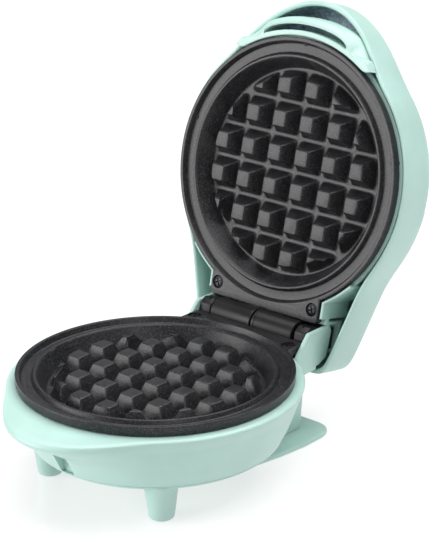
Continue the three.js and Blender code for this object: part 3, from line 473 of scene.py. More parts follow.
def non_stick(name, colour=(0.0085, 0.0085, 0.0095)):
    s = Shader(name)
    speck = s.spread(s.noise(0.7, 2, 0.7), 0.50, 0.64, 0, 1)
    cloud = s.spread(s.noise(9, 3), 0.35, 0.65, 0, 1)
    ground = s.blend(cloud, tuple(c * 0.8 for c in colour), tuple(c * 1.2 for c in colour))
    speckled = s.blend(speck, ground, tuple(c * 5.5 for c in colour))
    edged = s.blend(s.worn_edges(0.54, 0.66), speckled, tuple(c * 6.0 for c in colour))
    rough = s.spread(s.noise(0.7, 3, 0.7), 0.3, 0.7, 0.26, 0.46)
    normal = s.bump(s.noise(0.8, 3, 0.75), 0.6, 0.12)
    return s.finish(edged, rough, normal, IOR=1.5, Specular_IOR_Level=0.38)


def metal(name, colour, rough=0.3, brushed=None, spread=0.08):
    s = Shader(name)
    streak = s.noise(0.5, 3, 0.6, brushed)
    shade = s.blend(s.spread(streak, 0.3, 0.7, 0, 1),
                    tuple(c * (1 - spread) for c in colour), tuple(min(1, c * (1 + spread)) for c in colour))
    roughness = s.spread(s.noise(3, 3), 0.3, 0.7, rough - 0.07, rough + 0.1)
    return s.finish(shade, roughness, s.bump(streak, 0.12, 0.02), Metallic=1.0)


def woven(name, colour):
    s = Shader(name)
    wave = s.nodes.new("ShaderNodeTexWave")
    wave.wave_type = "BANDS"
    wave.bands_direction = "DIAGONAL"
    wave.inputs["Scale"].default_value = 700
    wave.inputs["Distortion"].default_value = 1.5
    s.links.new(s.coords, wave.inputs["Vector"])
    threads = wave.outputs["Fac"]
    shade = s.blend(threads, tuple(c * 0.72 for c in colour), colour)
    rough = s.spread(s.noise(0.6), 0.3, 0.7, 0.7, 0.9)
    return s.finish(shade, rough, s.bump(threads, 0.5, 0.15))


def clear_lens(name, colour):
    s = Shader(name)
    shade = s.blend(s.spread(s.noise(1.2, 2), 0.3, 0.7, 0, 1), tuple(c * 0.8 for c in colour), colour)
    rough = s.spread(s.noise(0.8, 2), 0.3, 0.7, 0.06, 0.16)
    return s.finish(shade, rough, s.bump(s.noise(0.9, 1), 0.08, 0.05), Transmission_Weight=0.35, IOR=1.49)


MINT = (0.400, 0.590, 0.535)
# The slate colour is painted shade for the lid shell's inner face inside the handle's hollow.
PAINTED_SHADE_SLATE = (0.40, 0.56, 0.64)
mint = moulded_plastic("mint_plastic", MINT)
# The lid's mint carries the painted shade; only the lid shell sets the mask for it.
mint_lid_painted_shade = moulded_plastic("mint_plastic_lid_painted_shade", MINT, inside=PAINTED_SHADE_SLATE)
coating = non_stick("non_stick_coating")
black = moulded_plastic("black_plastic", (0.0065, 0.0065, 0.0075), rough=0.40, grain_mm=0.3,
                        grain=0.16, tint=0.12, shine=0.3)
bright_steel = metal("bright_steel", (0.62, 0.61, 0.60), rough=0.24, brushed=(1, 12, 12))
dark_steel = metal("black_oxide_steel", (0.045, 0.045, 0.048), rough=0.44)
sheath = metal("heater_sheath", (0.36, 0.34, 0.32), rough=0.42)
sheet = metal("pressed_sheet", (0.70, 0.71, 0.72), rough=0.3, brushed=(6, 1, 1))
rubber = moulded_plastic("rubber", (0.028, 0.028, 0.029), rough=0.72, grain_mm=0.5, grain=0.3, tint=0.15)
ceramic = moulded_plastic("ceramic", (0.74, 0.71, 0.64), rough=0.42, grain_mm=0.4, grain=0.2, tint=0.06)
sleeving = woven("woven_sleeve", (0.66, 0.62, 0.52))
red_lens = clear_lens("red_lens", (0.62, 0.02, 0.014))
green_lens = clear_lens("green_lens", (0.03, 0.42, 0.09))
neon = clear_lens("neon_lamp", (0.85, 0.66, 0.5))

# ---------------------------------------------------------------- the baking plates


def peg_ring(cx, cy, half, clip, z, steps=56, power=13):
    """One level of a peg: a rounded square cut off by the cavity's circle, drawn from a point inside both."""
    inside_both = 41.5
    pull = max(0.0, math.hypot(cx, cy) - inside_both) / math.hypot(cx, cy)
    px, py = cx * (1 - pull), cy * (1 - pull)
    out = []
    for i in range(steps):
        a = 2 * math.pi * (i + 0.5) / steps
        dx, dy = math.cos(a), math.sin(a)
        along = px * dx + py * dy
        to_circle = -along + math.sqrt(max(along ** 2 + clip ** 2 - px ** 2 - py ** 2, 0.01))
        total = (1 / max(to_circle, 0.05)) ** power
        for nx, ny in ((1, 0), (-1, 0), (0, 1), (0, -1)):
            facing = dx * nx + dy * ny
            reach = half - (px - cx) * nx - (py - cy) * ny
            if facing > 0:
                total += (facing / max(reach, 0.05)) ** power
        r = total ** (-1 / power)
        out.append(Vector((px + r * dx, py + r * dy, z)))
    return out


def peg(cx, cy):
    draft, height, base_half, base_clip = 0.412, 7.4, 6.7, 46.7
    foot, tip = 0.7, 0.45
    levels = [(-0.4, foot), (0.0, foot)]
    for t in (0.2, 0.45, 0.75):
        levels.append((foot * t, foot * (1 - math.sqrt(1 - (1 - t) ** 2))))
    levels += [(foot, 0.0), (height / 2, 0.0), (height - tip, 0.0)]
    for degrees in (30, 60, 90):
        a = math.radians(degrees)
        levels.append((height - tip + tip * math.sin(a), -tip * (1 - math.cos(a))))
    return skin([peg_ring(cx, cy, base_half - draft * max(z, 0) + out, base_clip - draft * max(z, 0) + out,
                          z - CAVITY_DEPTH) for z, out in levels])


def plate_solids():
    dish = lathe(rounded([
        (0, -CAVITY_DEPTH), (48.2, -CAVITY_DEPTH, 1.2), (52.3, -1.3, 0.8), (52.9, -0.6, 0.5),
        (53.9, -0.6, 0.5), (54.9, -2.6, 0.6), (59.1, -2.6, 0.6), (60.2, -0.05, 0.35),
        (PLATE_RADIUS - 0.1, -0.05, 0.45), (PLATE_RADIUS - 0.05, -0.8, 0.4),
        (PLATE_RADIUS - 0.3, -SKIRT, 0.5), (55.8, -SKIRT, 1.0), (50.8, -CAVITY_DEPTH - DISH_WALL, 1.6),
        (0, -CAVITY_DEPTH - DISH_WALL),
    ], closed=False), 192)
    tongue = prism(rounded([(-TONGUE_X, 40), (TONGUE_X, 40), (TONGUE_X, TONGUE_Y, 2.2),
                            (-TONGUE_X, TONGUE_Y, 2.2)]), -SKIRT, 0.0, 0.35)
    inside = disc(60.75, -20, 10, 192)
    seats = [disc(3.15, -1.8, 2, 40).at(s * SCREW_X, SCREW_Y, 0) for s in (-1, 1)]
    places = [(i + 0.5) * PEG_PITCH for i in range(-3, 3)]
    farthest_peg = 48
    pegs = [peg(x, y) for x in places for y in places if math.hypot(x, y) < farthest_peg]
    return dish, tongue, inside, seats, pegs[0].plus(*pegs[1:])


PLATE_SCREW = (2.8, 1.2, 1.6, 8.4)   # head radius and height, shank radius, overall length
CASE_SCREW = (3.0, 1.0, 1.5, 6.0)
FRAME_SCREW = (2.0, 1.2, 1.5, 6.4)


def cross_screw(head, height, shank, length):
    """A cross-head screw and the arms of its recess. The head's top is at z = 0 and the shank goes down."""
    body = lathe(rounded([
        (0, 0.15), (head * 0.55, 0.12, 0.6), (head, -0.25, 0.35), (head, -height, 0.15),
        (shank, -height, 0.1), (shank, -length, 0.3), (0, -length - 0.6),
    ], closed=False, steps=3), 40)
    arms = []
    for turn in (0, 90):
        levels = ((-1.1, 0.45, 0.2), (0.02, 0.72, 0.34), (0.6, 0.8, 0.4))
        rings = []
        for z, reach, half in levels:
            r, h = head * reach, half
            rings.append([Vector(p) for p in ((-r, -h, z), (r, -h, z), (r, h, z), (-r, h, z))])
        arms.append(skin(rings).moved(Matrix.Rotation(math.radians(turn + 22), 4, "Z")))
    return body, arms


def baking_plate(name, body, turn, replaces):
    dish, tongue, inside, seats, pegs = plate_solids()
    rear = new_object("rear", tongue)
    combine(rear, [inside], "DIFFERENCE")
    rear_solid = take(rear)
    return piece(name, body, coating, dish.moved(turn),
                 joins=[rear_solid.moved(turn), pegs.moved(turn)], cuts=[s.moved(turn) for s in seats],
                 replaces=[replaces], sharp=28)


baking_plate("waffle_plate_lower", "base", Matrix.Identity(4), "lower_baking_plate")
baking_plate("waffle_plate_upper", "lid", FLIP, "upper_baking_plate")

for side, x in (("left", -SCREW_X), ("right", SCREW_X)):
    screw, arms = cross_screw(*PLATE_SCREW)
    for where, body, turn in (("lower", "base", Matrix.Identity(4)), ("upper", "lid", FLIP)):
        place = turn @ Matrix.Translation((x if body == "base" else -x, SCREW_Y, -0.35))
        piece(f"plate_screw_{where}_{side}", body, dark_steel, screw.moved(place),
              cuts=[a.moved(place) for a in arms], replaces=[f"{where}_plate_screw_{side}"])

# ---------------------------------------------------------------- the base's shell

BOWL = [  # height, radius, share of the grip
    (-4.8, 64.2, 0.72), (-4.95, 65.0, 0.82), (-5.4, 65.7, 0.90), (-6.2, 66.0, 0.95), (-8.5, 65.2, 1.06),
    (-11, 64.1, 1.0), (-14, 63.1, 0.68), (-17.5, 61.9, 0.32), (-21, 60.6, 0.07), (-25, 59.0, 0.0),
    (-28.5, 57.2, 0.0), (BASE_EDGE_Z, 56.4, 0.0),
]


def smooth_levels(levels, steps):
    """Rows run through by a smooth curve."""
    out = []
    for i in range(len(levels) - 1):
        p = [Vector(levels[min(max(k, 0), len(levels) - 1)]) for k in (i - 1, i, i + 1, i + 2)]
        for k in range(steps):
            t = k / steps
            out.append(0.5 * (2 * p[1] + (p[2] - p[0]) * t + (2 * p[0] - 5 * p[1] + 4 * p[2] - p[3]) * t * t
                              + (3 * p[1] - p[0] - 3 * p[2] + p[3]) * t ** 3))
    return out + [Vector(levels[-1])]


def bowl_ring(z, r, share, droop=0.0, steps=288):
    share = max(share, 0.0)
    return ring(lambda a: r + GRIP_REACH * share * grip_share(a), lambda a: z - droop * grip_share(a), steps)


def base_shell():
    """The bowl's outside down to its edge, its inside back up, and its mouth round the plate."""
    rows = []
    for z, r, share in smooth_levels(BOWL, 4):
        rows.append(bowl_ring(z, r, share, 1.3 * min(1.0, max(0.0, (z + 10) / 4))))
    edge = BOWL[-1]
    rows.append(bowl_ring(edge[0] - 0.25, edge[1] - 0.4, 0))
    rows.append(bowl_ring(edge[0] - 0.25, edge[1] - WALL + 0.3, 0))
    for z, r, share in reversed(smooth_levels(BOWL[4:], 1)):
        rows.append(bowl_ring(z, r - WALL, share - 0.12))
    rows.append(bowl_ring(-8.2, 62.5, 0.7))
    rows.append(bowl_ring(-7.2, 61.5, 0.6))
    for z, r in ((-7.0, 58.8), (-6.7, 58.5), (-5.2, 58.5), (-4.85, 58.8)):
        rows.append(bowl_ring(z, r, 0))
    rows.append(bowl_ring(-4.8, 60.2, 0.1, 0.1))
    rows.append(bowl_ring(-4.8, 62.2, 0.35, 0.6))
    return skin(rows, cyclic=True)


def column(inset, low, high):
    """The column under the hinge: a tapered block with rounded corners."""
    rings = []
    for z in (low, high):
        share = (z - COLUMN_FOOT_Z) / (BAY_FLOOR - COLUMN_FOOT_Z)
        half = 26 + 2.5 * share - inset
        y0, y1 = COLUMN_FRONT + inset, COLUMN_REAR - inset
        outline = rounded([(-half, y0), (half, y0), (half, y1), (-half, y1)], max(1.8 - inset, 0.4))
        rings.append([Vector((p.x, p.y, z)) for p in anticlockwise(outline)])
    return skin(rings)


def ear(side):
    top = HINGE.z + 4.6
    outline = rounded([
        (56.8, BAY_FLOOR - 0.6), (57.2, -5.2, 1.0), (65.9, top, 1.6), (81.6, top, 3.2),
        (82.4, top - 3.6, 2.5), (78.7, -11.2, 3.0), (73, BAY_FLOOR - 0.6, 2), (60, BAY_FLOOR - 0.6),
    ])
    low = EAR_X if side > 0 else -EAR_X - EAR_WALL
    return prism(outline, low, low + EAR_WALL, 0.7, "X")


ear_outer = EAR_X + EAR_WALL
bay_floor = box(-ear_outer, ear_outer, 50, COLUMN_REAR, BAY_FLOOR - WALL, BAY_FLOOR, 0.8, 0.5)
bay = box(-EAR_X, EAR_X, 56, 92, BAY_FLOOR, 12)
notch = prism(rounded([(-4, -34), (4, -34), (4, -20, 0.8), (-4, -20, 0.8)]), -70, -54.4, 0.0, "Y")
notch_back = box(-5.6, 5.6, -62, -52.6, BASE_EDGE_Z - 0.2, -18.2, 0.5, 0.3)
gland_place = Matrix.Translation((0, COLUMN_REAR, GLAND_Z))
gland_hole = disc(5.3, -4, 4).moved(gland_place @ Matrix.Rotation(math.pi / 2, 4, "X"))
pin_reach = ear_outer - PIN_COVER
pin_hole = disc(PIN_HOLE, -pin_reach, pin_reach, 32).moved(ALONG_X).at(0, HINGE.y, HINGE.z)
hollow = column(WALL, -52, BAY_FLOOR - WALL)
bowl_inside = skin([bowl_ring(z, r - WALL, share - 0.12) for z, r, share in reversed(BOWL[4:])]
                   + [bowl_ring(-8.0, 62.6, 0.7)])
column_bottom = FOOT_END + FOOT_PLATE + GAP
shell = new_object("rough_bowl", base_shell())
combine(shell, [bay], "DIFFERENCE")
bowl_cut = take(shell)

rear_block = new_object("rear_block", column(0, column_bottom, BAY_FLOOR - 0.05))
combine(rear_block, [bay_floor], "UNION")
combine(rear_block, [bowl_inside, hollow, gland_hole], "DIFFERENCE")
rear_cut = take(rear_block)
filled_bowl = skin([bowl_ring(z, r, share) for z, r, share in smooth_levels(BOWL, 4)])
back = new_object("notch_back", notch_back)
combine(back, [filled_bowl], "INTERSECT")

piece("base_shell", "base", mint, bowl_cut,
      joins=[rear_cut, ear(-1), ear(1), take(back)], cuts=[hollow, notch, pin_hole],
      replaces=["base_housing"])

# ---------------------------------------------------------------- underneath: cover, feet, foot plate

COVER_Z = -33.8
cover = lathe(rounded([
    (0, COVER_Z), (50, COVER_Z, 2.5), (54, COVER_Z + 1.3, 1.5), (56, BASE_EDGE_Z - 0.75, 0.5),
    (56, BASE_EDGE_Z - GAP, 0.2), (52, BASE_EDGE_Z - GAP, 0.5), (49.6, COVER_Z + WALL, 1),
    (0, COVER_Z + WALL),
], closed=False, steps=6), 144)
leg = lathe(rounded([
    (0, COVER_Z + 2), (7.6, COVER_Z + 2), (7.6, COVER_Z + 1.4, 0.5), (5.5, FOOT_END + 0.05, 1.7),
    (0, FOOT_END),
], closed=False, steps=8), 56)
leg_hollow = disc(4.4, FOOT_END + 4, COVER_Z + 6, 32)
pad_seat = disc(PAD_SEAT, FOOT_END - 1, FOOT_END + 1.2, 40)
FOOT_X, FOOT_Y = 33.4, -34.0
legs = [leg.at(s * FOOT_X, FOOT_Y, 0) for s in (-1, 1)]
leg_cuts = [tool.at(s * FOOT_X, FOOT_Y, 0) for s in (-1, 1) for tool in (leg_hollow, pad_seat)]
COVER_SCREWS = {"front": (0, -44), "left": (-42, 10), "right": (42, 10)}
wells = [disc(HEAD_SEAT, COVER_Z - 1, COVER_Z + 1, 32).at(x, y, 0) for x, y in COVER_SCREWS.values()]
shafts = [disc(SCREW_HOLE, COVER_Z, COVER_Z + 4, 24).at(x, y, 0) for x, y in COVER_SCREWS.values()]
piece("bottom_cover", "base", mint, cover, joins=legs,
      cuts=leg_cuts + wells + shafts + [column(-0.4, -60, -10)], replaces=["base_bottom_cover"])

foot_outline = rounded([
    (-33.5, 30, 2), (33.5, 30, 2), (36.2, 45, 18), (37.8, 60, 20), (37.6, 81.6, 11), (-37.6, 81.6, 11),
    (-37.8, 60, 20), (-36.2, 45, 18),
], steps=10)
REAR_PADS = {"left": (-29, 72), "right": (29, 72)}
FOOT_SCREWS = {"left": (-18, 62), "right": (18, 62)}
foot_seats = [disc(PAD_SEAT, FOOT_END - 1, FOOT_END + 1.2, 40).at(x, y, 0) for x, y in REAR_PADS.values()]
for radius, depth, steps in ((HEAD_SEAT, 1.1, 32), (SCREW_HOLE, 5, 24)):
    seat = disc(radius, FOOT_END - 1, FOOT_END + depth, steps)
    foot_seats += [seat.at(x, y, 0) for x, y in FOOT_SCREWS.values()]
piece("foot_plate", "base", mint, prism(foot_outline, FOOT_END, FOOT_END + FOOT_PLATE, 0.9),
      cuts=foot_seats, replaces=["rear_foot_plate"])

PADS = {f"front_{s}": (x * FOOT_X, FOOT_Y) for s, x in (("left", -1), ("right", 1))}
PADS.update({f"rear_{s}": place for s, place in REAR_PADS.items()})
for where, (x, y) in PADS.items():
    pad = lathe(rounded([(0, FLOOR_Z + 1.2), (3.4, FLOOR_Z + 1.2), (3.4, FLOOR_Z, 0.35), (2.2, FLOOR_Z, 0.2),
                         (1.9, FLOOR_Z + 0.25, 0.1), (0, FLOOR_Z + 0.25)], closed=False, steps=3), 48)
    piece(f"pad_{where}", "base", rubber, pad.at(x, y, 0), replaces=[f"foot_pad_{where}"])

upward = [("cover_screw_" + k, x, y, COVER_Z - 0.1) for k, (x, y) in COVER_SCREWS.items()]
upward += [("foot_plate_screw_" + k, x, y, FOOT_END + 0.1) for k, (x, y) in FOOT_SCREWS.items()]
for node, x, y, z in upward:
    screw, arms = cross_screw(*CASE_SCREW)
    place = Matrix.Translation((x, y, z)) @ UPSIDE_DOWN
    piece("detailed_" + node, "base", dark_steel, screw.moved(place),
          cuts=[a.moved(place) for a in arms], replaces=[node])

gland = lathe(rounded([(3.4, -4.5), (5, -4.5, 0.3), (5, 0.3), (6.6, 0.3), (7, 0.8, 0.4), (6.4, 2.6, 0.8),
                       (4.4, 2.9, 0.8), (3.4, 2.2, 0.4)]), 56)
piece("inlet_gland", "base", black,
      gland.moved(gland_place @ Matrix.Rotation(-math.pi / 2, 4, "X")),
      replaces=["cord_gland"])

# ---------------------------------------------------------------- the hinge


def barrel(x0, x1, collar_last):
    """A hollow barrel along X with a raised collar at its last or its first end."""
    body, collar, collar_width = BARREL_R - 0.1, BARREL_R + 0.15, 1.6
    if collar_last:
        profile = [(body, x0, 0.5), (body, x1 - collar_width, 0.1), (collar, x1 - collar_width + 0.1, 0.2),
                   (collar, x1, 0.5)]
    else:
        profile = [(collar, x0, 0.5), (collar, x0 + collar_width - 0.1, 0.2), (body, x0 + collar_width, 0.1),
                   (body, x1, 0.5)]
    profile += [(BARREL_BORE, x1, 0.3), (BARREL_BORE, x0, 0.3)]
    return lathe(rounded(profile, steps=3), 72).moved(ALONG_X).at(0, HINGE.y, HINGE.z)


def yz_box(x0, x1, y0, y1, z0, z1, corner=0.6, edge=0.4):
    outline = rounded([(y0, z0), (y1, z0), (y1, z1), (y0, z1)], corner)
    return prism(outline, x0, x1, edge, "X")


bore_core = disc(BARREL_BORE, -60, 60, 48).moved(ALONG_X).at(0, HINGE.y, HINGE.z)
web_low = yz_box(-BARREL_X + 4, -4.4, HINGE.y - 4.2, HINGE.y + 4.2, BAY_FLOOR + 2 * GAP + 1.4, HINGE.z - 1)
piece("barrel_left", "base", black, barrel(-BARREL_X, -0.4, True), joins=[web_low],
      cuts=[bore_core], replaces=["base_wire_barrel"])
web_high = yz_box(4.4, BARREL_X - 4, HINGE.y - 4.2, HINGE.y + 4.2, HINGE.z + 1, SHELF_Z - GAP)
piece("barrel_right", "lid", black, barrel(0.4, BARREL_X, False), joins=[web_high],
      cuts=[bore_core], replaces=["lid_wire_barrel"])

for side, sign in (("left", -1), ("right", 1)):
    x0, x1 = BARREL_X + 1, EAR_X - GAP
    y, z = HINGE.y, HINGE.z
    arm_outline = rounded([
        (y - 5.4, z - 2.6, 2.2), (y - 2.6, z - 5.4, 2.2), (y + 2.6, z - 5.4, 2.2), (y + 5.6, z - 2.6, 2.2),
        (y + 5.6, SHELF_Z - GAP, 0.6), (y - 4.4, SHELF_Z - GAP, 0.6), (y - 5.4, z + 5, 2),
    ], steps=6)
    arm = prism(arm_outline, x0, x1, 0.6, "X")
    boss = lathe(rounded([(PIN_HOLE, x0 - 0.5), (4.2, x0 - 0.5, 0.4), (4.2, x1 - 0.2, 0.2),
                          (PIN_HOLE, x1 - 0.2)], steps=3), 48).moved(ALONG_X).at(0, y, z)
    turn = MIRROR if sign < 0 else Matrix.Identity(4)
    cutter = disc(PIN_HOLE, x0 - 2, x1 + 2, 32).moved(ALONG_X).at(0, y, z)
    groove = yz_box(x0 + 2.6, x0 + 3.4, y - 8, y - 4.6, z - 8, z + 9, 0.1, 0.0)
    piece(f"hinge_arm_{side}", "lid", black, arm.moved(turn), joins=[boss.moved(turn)],
          cuts=[cutter.moved(turn), groove.moved(turn)], replaces=[f"lid_hinge_arm_{side}"])
    pin_start, pin_end = BARREL_X + 0.5, pin_reach - GAP
    pin = lathe(rounded([(0, pin_start), (PIN_RADIUS, pin_start, 0.3), (PIN_RADIUS, pin_end, 0.5),
                         (0, pin_end)], closed=False, steps=4), 40)
    piece(f"pin_{side}", "base", bright_steel,
          pin.moved(turn @ Matrix.Translation((0, y, z)) @ ALONG_X), replaces=[f"hinge_pin_{side}"])

cover_z = BAY_FLOOR + GAP
bay_liner = box(-EAR_X + GAP, EAR_X - GAP, 58.2, COLUMN_REAR, cover_z, cover_z + 1.4, 1.0, 0.4)
upstand = box(-EAR_X + GAP, EAR_X - GAP, 61.6, 63, cover_z, -SKIRT - GAP, 0.3, 0.3)
piece("bay_liner", "base", black, bay_liner, joins=[upstand], replaces=["hinge_bay_cover"])

# ---------------------------------------------------------------- the lid's shell

LID_STEPS = 480


def lid_rows(inset, top_z, crown_z):
    """Rows from the wall above the rim up to the crown."""
    r = LID_EDGE - inset / 2
    rows = [ring(lambda a: lid_outline(inset + 0.1, a), lambda a: max(rim_height(a) + 2.5, 11.5), LID_STEPS),
            ring(lambda a: lid_outline(inset + 0.3, a), lambda a: 17, LID_STEPS)]
    last = math.radians(84)
    for k in range(11):
        a = last * k / 10
        rows.append(ring(lambda t, a=a: lid_outline(inset + 0.6 + r * (1 - math.cos(a)), t),
                         lambda t, a=a: top_z - r + r * math.sin(a), LID_STEPS))
    edge_inset = inset + 0.6 + r * (1 - math.cos(last))
    edge_z = top_z - r + r * math.sin(last)
    for share in (0.88, 0.76, 0.64, 0.5, 0.36, 0.22, 0.1, 0.01):
        rows.append(ring(lambda t, s=share: s * lid_outline(edge_inset, t),
                         lambda t, s=share: edge_z + (crown_z - edge_z) * (1 - s * s), LID_STEPS))
    return rows


def rim_rows():
    """Rows round the rim, from inside to outside."""
    rows = []
    for k in range(9):
        a = math.pi * k / 8
        rows.append(ring(
            lambda t, a=a: lid_outline((LID_WALL + 0.5 * handle_share(t)) * (1 + math.cos(a)) / 2, t),
            lambda t, a=a: rim_height(t) + 1.0 - 1.0 * math.sin(a), LID_STEPS))
    return rows


inner_rows = lid_rows(LID_WALL, SHOULDER_Z - LID_WALL, CROWN_Z - LID_WALL)
lid_shell = skin(inner_rows[::-1] + rim_rows() + lid_rows(0, SHOULDER_Z, CROWN_Z))
windows = [disc(WINDOW_RADIUS, 20, 40, 48).at(s * LENS_X, LENS_Y, 0) for s in (-1, 1)]
window_seats = [lathe([(0, 31.9), (3.35, 31.9), (4.6, 33.4), (0, 33.4)], 48).at(s * LENS_X, LENS_Y, 0)
                for s in (-1, 1)]


def shell_painted_shade(p):
    """How much painted shade a point takes: 0 on the shell's outside and rim, 1 on its inner face behind the
    handle's rim.
    """
    angle = math.degrees(math.atan2(p.y, p.x)) % 360
    inset = lid_outline(0, angle) - math.hypot(p.x, p.y)
    if not 1.0 < inset < 12 or handle_share(angle) <= 0:
        return 0.0
    share = min(max((inset - 0.6) / LID_EDGE, 0.0), 1.0)
    outside = SHOULDER_Z - LID_EDGE + LID_EDGE * math.sqrt(1 - (1 - share) ** 2)
    if p.z > outside - 1.0:
        return 0.0
    return min(max((p.z - rim_height(angle) - 0.9) / 0.6, 0.0), 1.0)


# The inner face behind the handle's rim is painted darker here as painted shade.
piece("lid_shell", "lid", mint_lid_painted_shade, lid_shell, cuts=windows + window_seats,
      replaces=["lid_outer_shell"], inside=shell_painted_shade)

# ---------------------------------------------------------------- the lid's inner frame


def bulge(share):
    """Nearly flat in the middle, dropping at its ends."""
    return 1 - share ** 5 if share < 1 else 0.0


CRESCENT_WIDTH = 2.7             # of the lip's face beside the slot
CRESCENT_HALF_ANGLE = 36.9
CRESCENT_DEPTH_Z = 6.3
CRESCENT_BACK_Z = 10.5


def crescent_inner(angle):
    """The lip's inner edge: round the plate, turning outward near the tips."""
    turn = max(0.0, from_front(angle) - 31) / 5.3
    return FRAME_R + 2.8 * turn ** 3


def crescent_face_edge(angle):
    """The outer edge of the lip's face: widest over the slot and again at the tips."""
    tip = min(max((from_front(angle) - 25) / 8, 0.0), 1.0)
    widening = 2.2 * tip * tip * (3 - 2 * tip) + 4.0 * bulge(from_front(angle) / 24)
    return min(FRAME_R + CRESCENT_WIDTH + widening, lid_outline(0.6, angle))


def crescent_wall(angle):
    """The outside of the wall behind the lip, kept inside the shell."""
    reach = FRAME_R + CRESCENT_WIDTH + 6.0 * bulge(from_front(angle) / 36)
    return min(reach, lid_outline(LID_WALL + GAP, angle))


def crescent_face():
    """The lip in front of the plate. It rolls over into its wall, and its tips turn out to the rim."""
    rings = []
    steps = 160
    for i in range(steps + 1):
        psi = CRESCENT_HALF_ANGLE * math.sin((-1 + 2 * i / steps) * math.pi / 2)
        angle = 270 + psi
        round_end = 2.5
        end = max(0.0, abs(psi) - (CRESCENT_HALF_ANGLE - round_end)) / round_end
        shrink = math.sqrt(max(1 - end * end, 0.0009))
        r0, r1 = crescent_inner(angle), crescent_face_edge(angle)
        mid, reach = (r0 + r1) / 2, (r1 - r0) / 2 * shrink
        r0, r1 = mid - reach, mid + reach
        middle = bulge(abs(psi) / 26)
        back = max(r1, min(r1 + 1.6 * middle, crescent_wall(angle)))
        top = FRAME_TOP + (1 - shrink) * 0.9
        low = min(rim_height(angle) - 0.35, CRESCENT_DEPTH_Z)
        section = rounded([(r0, low), (r0, top, 0.6), (r1 - 0.1, top, 1.1 + 1.5 * middle),
                           (back, FRAME_TOP + 2.6, 1.0), (back, low)], steps=7)
        a = math.radians(angle)
        rings.append([Vector((p.x * math.cos(a), p.x * math.sin(a), p.y)) for p in section])
    return skin(rings)


def band(half, section, steps=96):
    """A wall round the front; its section is (radius, height) pairs, each radius a function of the angle."""
    rings = []
    for i in range(steps + 1):
        angle = 270 - half + 2 * half * i / steps
        a = math.radians(angle)
        rings.append([Vector((radius(angle) * math.cos(a), radius(angle) * math.sin(a), z))
                      for radius, z in section])
    return skin(rings)


def shoulder(angle):
    """Where the lip's face hands over to the wall that slopes away behind it."""
    return min(crescent_face_edge(angle) + 0.2, crescent_wall(angle))


def slot_outline(grow):
    """The finger slot through the lip: a straight run of the plate's curve inside, rounded ends outside."""
    inner_r, width, half_angle, steps = 65.1, 2.9, 21.3, 64
    outer = [(inner_r + grow + width * math.sqrt(max(0, 1 - (psi / half_angle) ** 6)), 270 + psi)
             for psi in [-21.2 + 42.4 * i / steps for i in range(steps + 1)]]
    inner = [(inner_r - grow, 270 + psi) for psi in [21.25 - 42.5 * i / steps for i in range(steps + 1)]]
    return [Vector((r * math.cos(math.radians(a)), r * math.sin(math.radians(a)))) for r, a in outer + inner]


def lip_wall():
    """The lip's solid back between its inner edge and the shoulder."""
    return band(31, [(lambda a: FRAME_R, FRAME_TOP + 1.2), (shoulder, FRAME_TOP + 1.2),
                     (shoulder, CRESCENT_DEPTH_Z), (lambda a: FRAME_R, CRESCENT_DEPTH_Z)])


def sloping_wall():
    """The wall that leans out from the shoulder into the hollow of the handle."""
    back = FRAME_TOP + 1.4
    return band(33.5, [(lambda a: shoulder(a) - 1.4, back), (shoulder, back),
                       (lambda a: (shoulder(a) + crescent_wall(a)) / 2, 4.2), (crescent_wall, 7.0),
                       (crescent_wall, CRESCENT_BACK_Z), (lambda a: shoulder(a) - 1.4, CRESCENT_BACK_Z)])


def side_panel():
    """The frame's wall inside the hood: round the plate, then straight back along its tongue."""
    x_in, x_out = TONGUE_X + 0.5, TONGUE_X + 2.0
    outer_r, inner_r = FRAME_R + 1.2, FRAME_R
    outline = arc(outer_r, 43, math.degrees(math.acos(x_out / outer_r)), 10)
    outline += [Vector((x_out, 61.6)), Vector((x_in, 61.6))]
    outline += arc(inner_r, 43, math.degrees(math.acos(x_in / inner_r)), 10)[::-1]
    return prism(outline, FRAME_TOP + 0.4, 21, 0.45)


ledge_outer = LID_RADIUS - LID_WALL - GAP
ledge_top = LEDGE_Z + LEDGE_THICK
ledge = lathe(rounded([(LEDGE_INNER, LEDGE_Z), (ledge_outer, LEDGE_Z, 0.3), (ledge_outer, ledge_top),
                       (LEDGE_INNER, ledge_top)]), 192)
panel_x = TONGUE_X + 2.0
seat = new_object("seat", box(-panel_x, panel_x, 45, 64.6, LEDGE_Z, ledge_top, 0.4, 0.2))
combine(seat, [disc(LEDGE_INNER + 0.1, 0, 30, 192)], "DIFFERENCE")
seat_solid = take(seat)
cross_wall = box(-panel_x, panel_x, 63.1, 64.6, LEDGE_Z, SHELF_Z + 2, 0.2, 0.2)
shelf = box(-panel_x, panel_x, 63.1, HINGE.y + 8, SHELF_Z, SHELF_Z + 2, 0.5, 0.4)
frame_screw_r = (LEDGE_INNER + LID_RADIUS - LID_WALL) / 2 - 0.5
FRAME_SCREWS = {"front": 270, "left": 195, "right": 345}
frame_screw_places = {
    k: (frame_screw_r * math.cos(math.radians(a)), frame_screw_r * math.sin(math.radians(a)))
    for k, a in FRAME_SCREWS.items()
}
hole_places = [*frame_screw_places.values(), (-SCREW_X, SCREW_Y), (SCREW_X, SCREW_Y)]
frame_holes = [disc(SCREW_HOLE, 0, 14, 24).at(x, y, 0) for x, y in hole_places]
slot_cut = prism(slot_outline(0.0), FRAME_TOP - 3, 12)
slot_edge = prism(slot_outline(0.35), FRAME_TOP - 3, FRAME_TOP + 0.35)
wire_passage = box(6.8, 14.8, 60, 70, LEDGE_Z + 4, LEDGE_Z + 9, 1.5)
